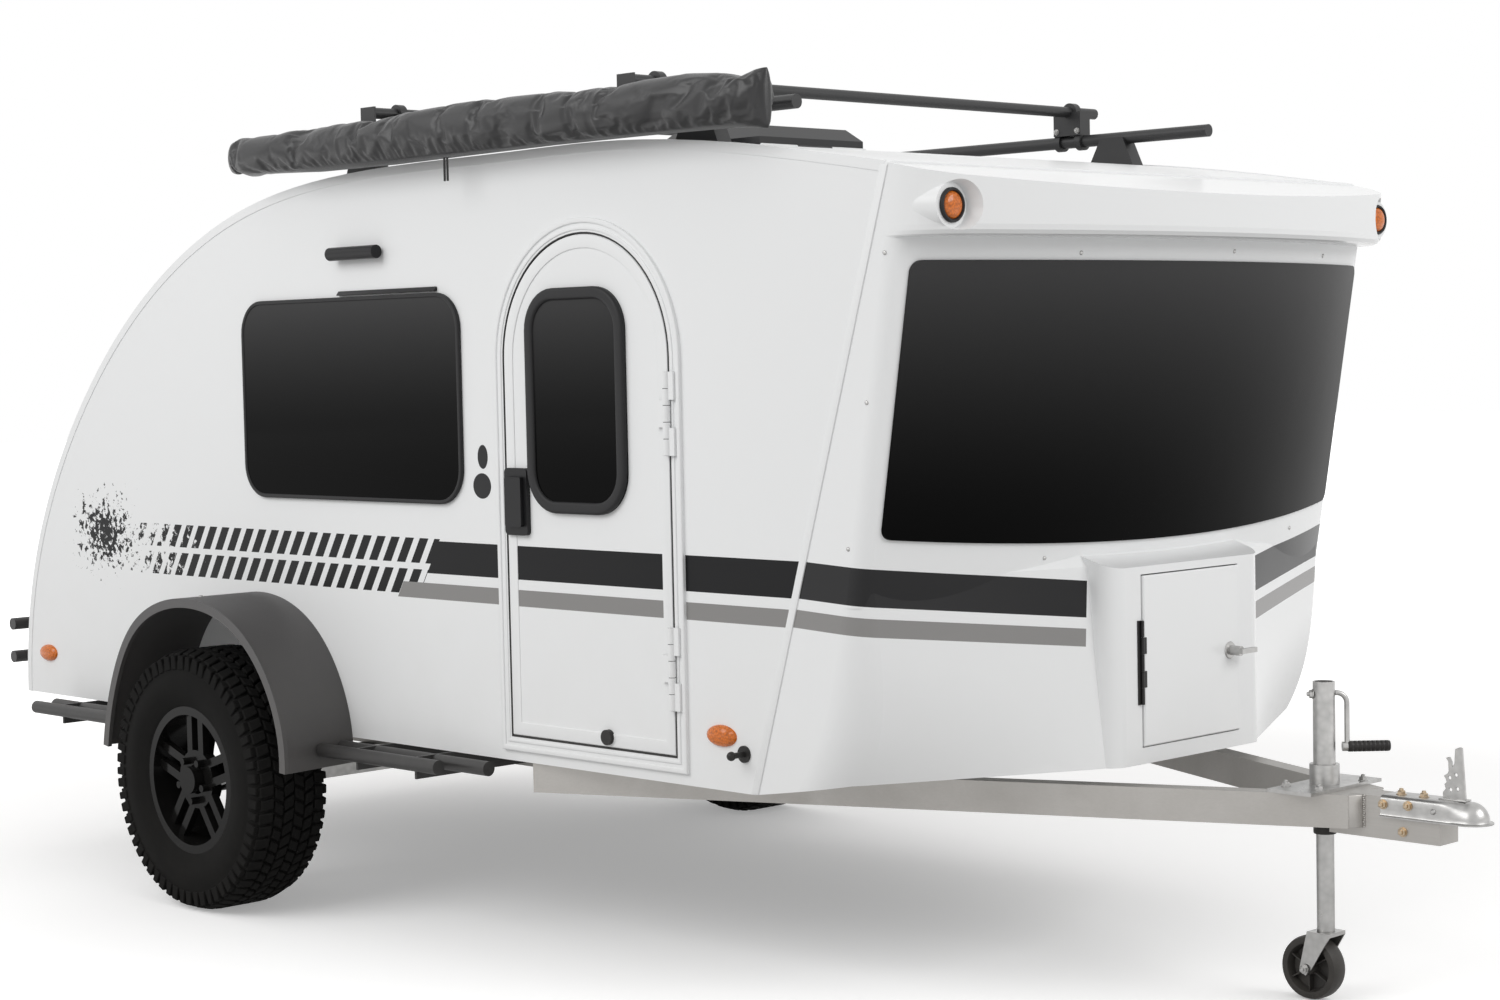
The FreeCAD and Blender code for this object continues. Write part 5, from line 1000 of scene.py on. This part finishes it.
# Cap lamps and stickers
# Round amber lamps in rubber grommets under the brow, and two plain black labels behind the
# door frame.
lamp_places = [facing((1.5863, side * 0.834, 1.84), (1, 0, 0)) for side in (-1, 1)]
dome = turned("dome", [(-0.001, 0), (-0.001, 0.031), (0.003, 0.0305), (0.007, 0.028),
                       (0.0105, 0.022), (0.0125, 0.012), (0.013, 0)], 32)
lenses = set_out("cap_lamp_lenses", dome, lamp_places)
finished(lenses, lens("cap_amber", amber), "amber_lens", "trailer")
grommet = turned("grommet", [(-0.001, 0.030), (0.005, 0.0305), (0.008, 0.033), (0.008, 0.0362),
                             (0.005, 0.0385), (-0.001, 0.0385)], 32)
grommets = set_out("cap_lamp_grommets", grommet, lamp_places)
finished(grommets, ring_black, "lamp_rubber", "trailer", 50)


def label(name, x, z, wide, tall):
    """A thin domed oval on the wall."""
    made = turned(name, [(0, 0), (0, 1), (0.0012, 0.98), (0.0016, 0)], 32)
    made.data.transform(Matrix.Diagonal((1, wide, tall, 1)))
    made.data.transform(Matrix.Translation((x, outer_y, z)) @ Matrix.Rotation(-math.pi / 2, 4, "Z"))
    finished(made, *black_fitting)


label("oval_label", 0.040, 1.276, 0.020, 0.031)
label("round_label", 0.035, 1.201, 0.036, 0.033)


# Coupler
# Pressed from one plated sheet: a channel over the tongue with a flange along its foot, which
# rounds off into a dome over the ball. A toothed latch plate stands behind the dome.
coupler_rear, dome_start, ball_x = 2.1445, 2.296, 2.351
coupler_foot, coupler_rise = 0.457, 0.0455
boxy = [(0, 1), (0.012, 1), (0.024, 1), (0.033, 0.985), (0.0385, 0.94), (0.0408, 0.85),
        (0.0408, 0.6), (0.0408, 0.35), (0.0412, 0.12), (0.043, 0.03), (0.047, 0.005), (0.0515, 0)]
domed = [(0.0385 * math.sin(math.radians(turn)), 0.08 + 0.92 * math.cos(math.radians(turn)))
         for turn in (0, 11, 22, 34, 46, 58, 70, 81, 90)]
domed += [(0.0405, 0.025), (0.045, 0.004), (0.0485, 0)]


def coupler_stations():
    """Each station: x, the way out to the side, and how far the section has gone round."""
    straight = [coupler_rear + (ball_x - coupler_rear) * step / 18 for step in range(19)]
    stations = [(x, (0, 1), limited((x - dome_start) / (ball_x - dome_start))) for x in straight]
    back = [(x, (0, -1), share) for x, way, share in reversed(stations)]
    for step in range(1, 16):
        turn = math.radians(90 - step * 180 / 16)
        stations.append((ball_x, (math.cos(turn), math.sin(turn)), 1))
    return stations + back


def pressed_point(column, row):
    """A point of the pressing, between the channel's section and the dome's."""
    x, way, share = stations[column]
    share = share * share * (3 - 2 * share)
    out, rise = (a * (1 - share) + b * share for a, b in zip(boxy[row], domed[row]))
    return (x + out * way[0], out * way[1], coupler_foot + coupler_rise * rise)


stations = coupler_stations()
coupler_pressing = sheet("coupler_pressing", len(stations) - 1, len(boxy) - 1, pressed_point, 0.003)
finished(coupler_pressing, *bright, 50)
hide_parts("coupler")
latch_x, latch_z = 2.338, 0.5045
latch_outline = [(0, 0), (0.0087, 0.1172), (0.0144, 0.1188), (0.0262, 0.1139), (0.0283, 0.0807),
                 (0.0340, 0.0733), (0.0349, 0.0849), (0.0406, 0.0952), (0.0493, 0.0923),
                 (0.0436, 0.0840), (0.0427, 0.0642), (0.0449, 0.0580), (0.0549, 0.0518),
                 (0.0506, 0.0455), (0.0480, 0.0385), (0.0536, 0.0331), (0.0506, 0.0228),
                 (0.0580, 0.0145), (0.0567, 0)]
latch_holes = ((0.0244, 0.0559), (0.0405, 0.0484), (0.0209, 0.0248), (0.0384, 0.0219))


def thickened(name, corners, move):
    """A plate with these corners, drawn out to its thickness."""
    made = outlined(name, corners, "NGON")
    edit()
    bpy.ops.mesh.extrude_region_move(TRANSFORM_OT_translate={"value": move})
    face_out()
    return made


def latch_plate():
    made = thickened("latch_plate", [(latch_x - back, -0.003, latch_z + rise)
                                     for back, rise in latch_outline], (0, 0.006, 0))
    punch = turned("punch", [(-0.01, 0), (-0.01, 0.0042), (0.01, 0.0042), (0.01, 0)], 16)
    holes = set_out("holes", punch, [facing((latch_x - back, 0, latch_z + rise), (0, 1, 0))
                                     for back, rise in latch_holes])
    modified(made, "BOOLEAN", operation="DIFFERENCE", object=holes)
    bpy.data.objects.remove(holes)
    foot = block("foot", (2.276, -0.014, 0.5035), (2.343, 0.014, 0.5070), 0.001)
    return joined("latch_plate", [softened(made, 0.0007, 1), foot])


latch = finished(latch_plate(), *bright, 30)
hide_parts("coupler_latch")


# Coupler fastenings
# Yellow zinc bolts through the coupler and the tongue tube, with washers, and a plain rivet
# ahead of them. The rails end in closing plates, welded to the tube with short beads.
def yellow_zinc():
    made, tree, shader = new_finish("yellow_zinc", (0.62, 0.42, 0.2, 1), 0.3, 0.95)
    cloud = texture(tree, "Noise", place_of(tree)[0], Scale=160.0, Detail=3.0)
    clouded = tint(tree, cloud, (0.62, 0.50, 0.34, 1), (0.42, 0.33, 0.25, 1))
    put(clouded, shader.inputs["Base Color"])
    return made


def nut_and_washer(name):
    """A washer, a six-sided nut with its corners turned off, and the bolt's end."""
    washer = turned("washer", [(0, 0), (0, 0.0115), (0.002, 0.0115), (0.002, 0)])
    nut = turned("nut", [(0.0018, 0), (0.0018, 0.0098), (0.0078, 0.0098), (0.0092, 0.0082),
                         (0.0092, 0)], 6)
    end = turned("end", [(0.009, 0), (0.009, 0.005), (0.013, 0.005), (0.0145, 0.0036), (0.0145, 0)])
    return joined(name, [washer, nut, end])


coupler_side = 0.0423
bolt_places = [facing((x, side * coupler_side, z), (0, side, 0))
               for side in (-1, 1) for x, z in ((2.152, 0.484), (2.2161, 0.4866))]
bolt_places += [facing((2.2, side * 0.038, 0.4254), (0, side, 0)) for side in (-1, 1)]
bolt_places += [facing((x, -0.008, 0.5043), (0, 0, 1)) for x in (2.178, 2.236)]
coupler_bolts = set_out("coupler_bolts", nut_and_washer("coupler_bolt"), bolt_places)
finished(coupler_bolts, yellow_zinc(), "bright_plating", "trailer")
rivet = turned("rivet", [(0, 0), (0, 0.0065), (0.0015, 0.0062), (0.0038, 0.004), (0.0045, 0)], 20)
rivet_places = [facing((2.2796, side * coupler_side, 0.4796), (0, side, 0)) for side in (-1, 1)]
finished(set_out("coupler_rivets", rivet, rivet_places), *bright)


def weld_bead(x, y, radius, drops):
    """Overlapping drops of metal in a row up the end of a rail."""
    bpy.ops.mesh.primitive_ico_sphere_add(subdivisions=2, radius=radius)
    drop = named(bpy.context.object, "bead")
    drop.data.transform(Matrix.Diagonal((0.8, 0.8, 0.7, 1)))
    start, end = Vector((x, y, 0.427)), Vector((x, y, 0.498))
    moves = []
    for step in range(drops):
        sway = Vector((0.0006 * math.sin(step * 2.3), 0.0006 * math.cos(step * 1.7), 0))
        moves.append(Matrix.Translation(start + (end - start) * (step / (drops - 1)) + sway))
    return set_out("bead", drop, moves)


def rail_end():
    """A closing plate in the notch between the rail's end and the tube, on the door side."""
    corners = ((2.060, -0.0375, 0.4245), (2.0786, -0.0722, 0.4245), (2.0985, -0.0375, 0.4245))
    plate = thickened("rail_end_right", corners, (0, 0, 0.075))
    beads = [weld_bead(2.0995, -0.0385, 0.0042, 15), weld_bead(2.0785, -0.0712, 0.0026, 21)]
    return joined("rail_end_right", [softened(plate, 0.002)] + beads)


on_both_sides(rail_end(), rail_aluminium, "bare_aluminium", "trailer", 50)


# Jack fittings
# A black sleeve on the crank, a nut where its shaft leaves the tube, a black collar under the
# tube, and bolts through the plate that carries it.
crank_way = Vector((math.cos(math.radians(45)), math.sin(math.radians(45)), 0))
jack_x = 1.969
grip_profile = [(0, 0), (0, 0.0112), (0.0015, 0.0122)]
for rib in range(9):
    start = 0.004 + rib * 0.0102
    grip_profile += [(start, 0.0128), (start + 0.0082, 0.0128), (start + 0.0088, 0.0121),
                     (start + 0.0096, 0.0121)]
grip_profile += [(0.0965, 0.0122), (0.098, 0.0105), (0.098, 0)]
grip = turned("crank_sleeve", grip_profile)
grip.data.transform(facing(Vector((jack_x, 0, 0.593)) + crank_way * 0.0535, crank_way))
finished(grip, *black_fitting, 50)
shaft_end = nut_and_washer("crank_shaft_end")
shaft_end.data.transform(facing(Vector((jack_x, 0, 0.716)) - crank_way * 0.0248, -crank_way))
finished(shaft_end, *bright)
collar = turned("jack_collar", [(0.392, 0.0218), (0.392, 0.0258), (0.394, 0.0268),
                                (0.411, 0.0268), (0.413, 0.0258), (0.413, 0.0218)], 32)
collar.data.transform(facing((jack_x, 0, 0), (0, 0, 1)))
finished(collar, *black_fitting)
plate_places = [facing((jack_x + x, y, 0.508), (0, 0, 1))
                for x in (-0.045, 0.045) for y in (-0.09, 0.09)]
finished(set_out("jack_plate_bolts", nut_and_washer("plate_bolt"), plate_places), *bright)


# Small fittings
# Zip pulls under the awning bag, a bright button on each fender, and a round plate under the
# nose door's latch.
pulls = [block("pull", (x, -0.987, 1.980), (x + 0.007, -0.984, 2.040), 0.0008)
         for x in (0.0085, 0.0205)]
finished(joined("zip_pulls", pulls), *black_fitting)
button = turned("button", [(-0.002, 0), (-0.002, 0.0085), (0.001, 0.0082), (0.004, 0.005),
                           (0.005, 0)], 20)
button_moves = [facing((-0.990, side * 1.10, 0.8790), (0, 0, 1)) for side in (-1, 1)]
finished(set_out("fender_buttons", button, button_moves), *bright)
latch_ring = turned("nose_latch_ring", [(0, 0), (0, 0.0205), (0.0015, 0.0215), (0.004, 0.0195),
                                        (0.005, 0.012), (0.005, 0)], 32)
latch_ring.data.transform(facing((1.5995, 0.150, 0.780), (1, 0, 0)))
finished(latch_ring, zinc, "bright_plating", "nose_door")


# Rack clamp nuts
# Small bright nuts on both ends of the bolts that close the rack's clamps on the rails.
rail_y, rail_z = 0.797, 2.136
clamp_nut = nut_and_washer("clamp_nut")
clamp_nut.data.transform(Matrix.Scale(0.75, 4))
clamp_places = [facing((bar + lean * 0.037, side * rail_y + face * 0.022, rail_z), (0, face, 0))
                for bar in rack_bars for lean in (-1, 1) for side in (-1, 1) for face in (-1, 1)]
finished(set_out("rack_clamp_nuts", clamp_nut, clamp_places), *bright)


# Caster wheel
# A moulded black wheel: a round tread on a thin web, stiffened by six ribs a side, that turns
# on a plated bolt with a six-sided head.
caster_x, caster_z = 1.934, 0.075
caster_black = grained_black("caster_black", (0.014, 0.014, 0.015, 1), 0.45, 500.0, 0.0003)


def moulded_wheel():
    half = [(-0.003, 0.050), (-0.018, 0.054), (-0.0235, 0.057), (-0.025, 0.064), (-0.0225, 0.0715),
            (-0.012, 0.0748)]
    tread = turned("tread", half + [(-along, radius) for along, radius in reversed(half)], 48)
    web = turned("web", [(-0.003, 0.012), (-0.003, 0.052), (0.003, 0.052), (0.003, 0.012)], 32)
    hub = turned("hub", [(-0.0285, 0.0068), (-0.0285, 0.013), (-0.024, 0.0165), (0.024, 0.0165),
                         (0.0285, 0.013), (0.0285, 0.0068)], 24)
    rib = block("rib", (-0.019, -0.0016, 0.014), (0.019, 0.0016, 0.054), 0.0008)
    turns = [Matrix.Rotation(math.radians(60 * step), 4, "X") for step in range(6)]
    ribs = set_out("ribs", rib, turns)
    made = joined("caster_wheel_moulded", [tread, web, hub, ribs])
    made.data.transform(facing((caster_x, 0, caster_z), (0, 1, 0)))
    return made


caster_moulded = finished(moulded_wheel(), caster_black, "caster_plastic", "caster_wheel", 40)
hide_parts("caster_wheel")
axle_heads = [facing((caster_x, side * 0.0375, caster_z), (0, side, 0)) for side in (-1, 1)]
heads = set_out("caster_axle_heads", nut_and_washer("axle_head"), axle_heads)
finished(heads, zinc, "bright_plating", "caster_fork")


bpy.context.scene.view_settings.view_transform = "Standard"
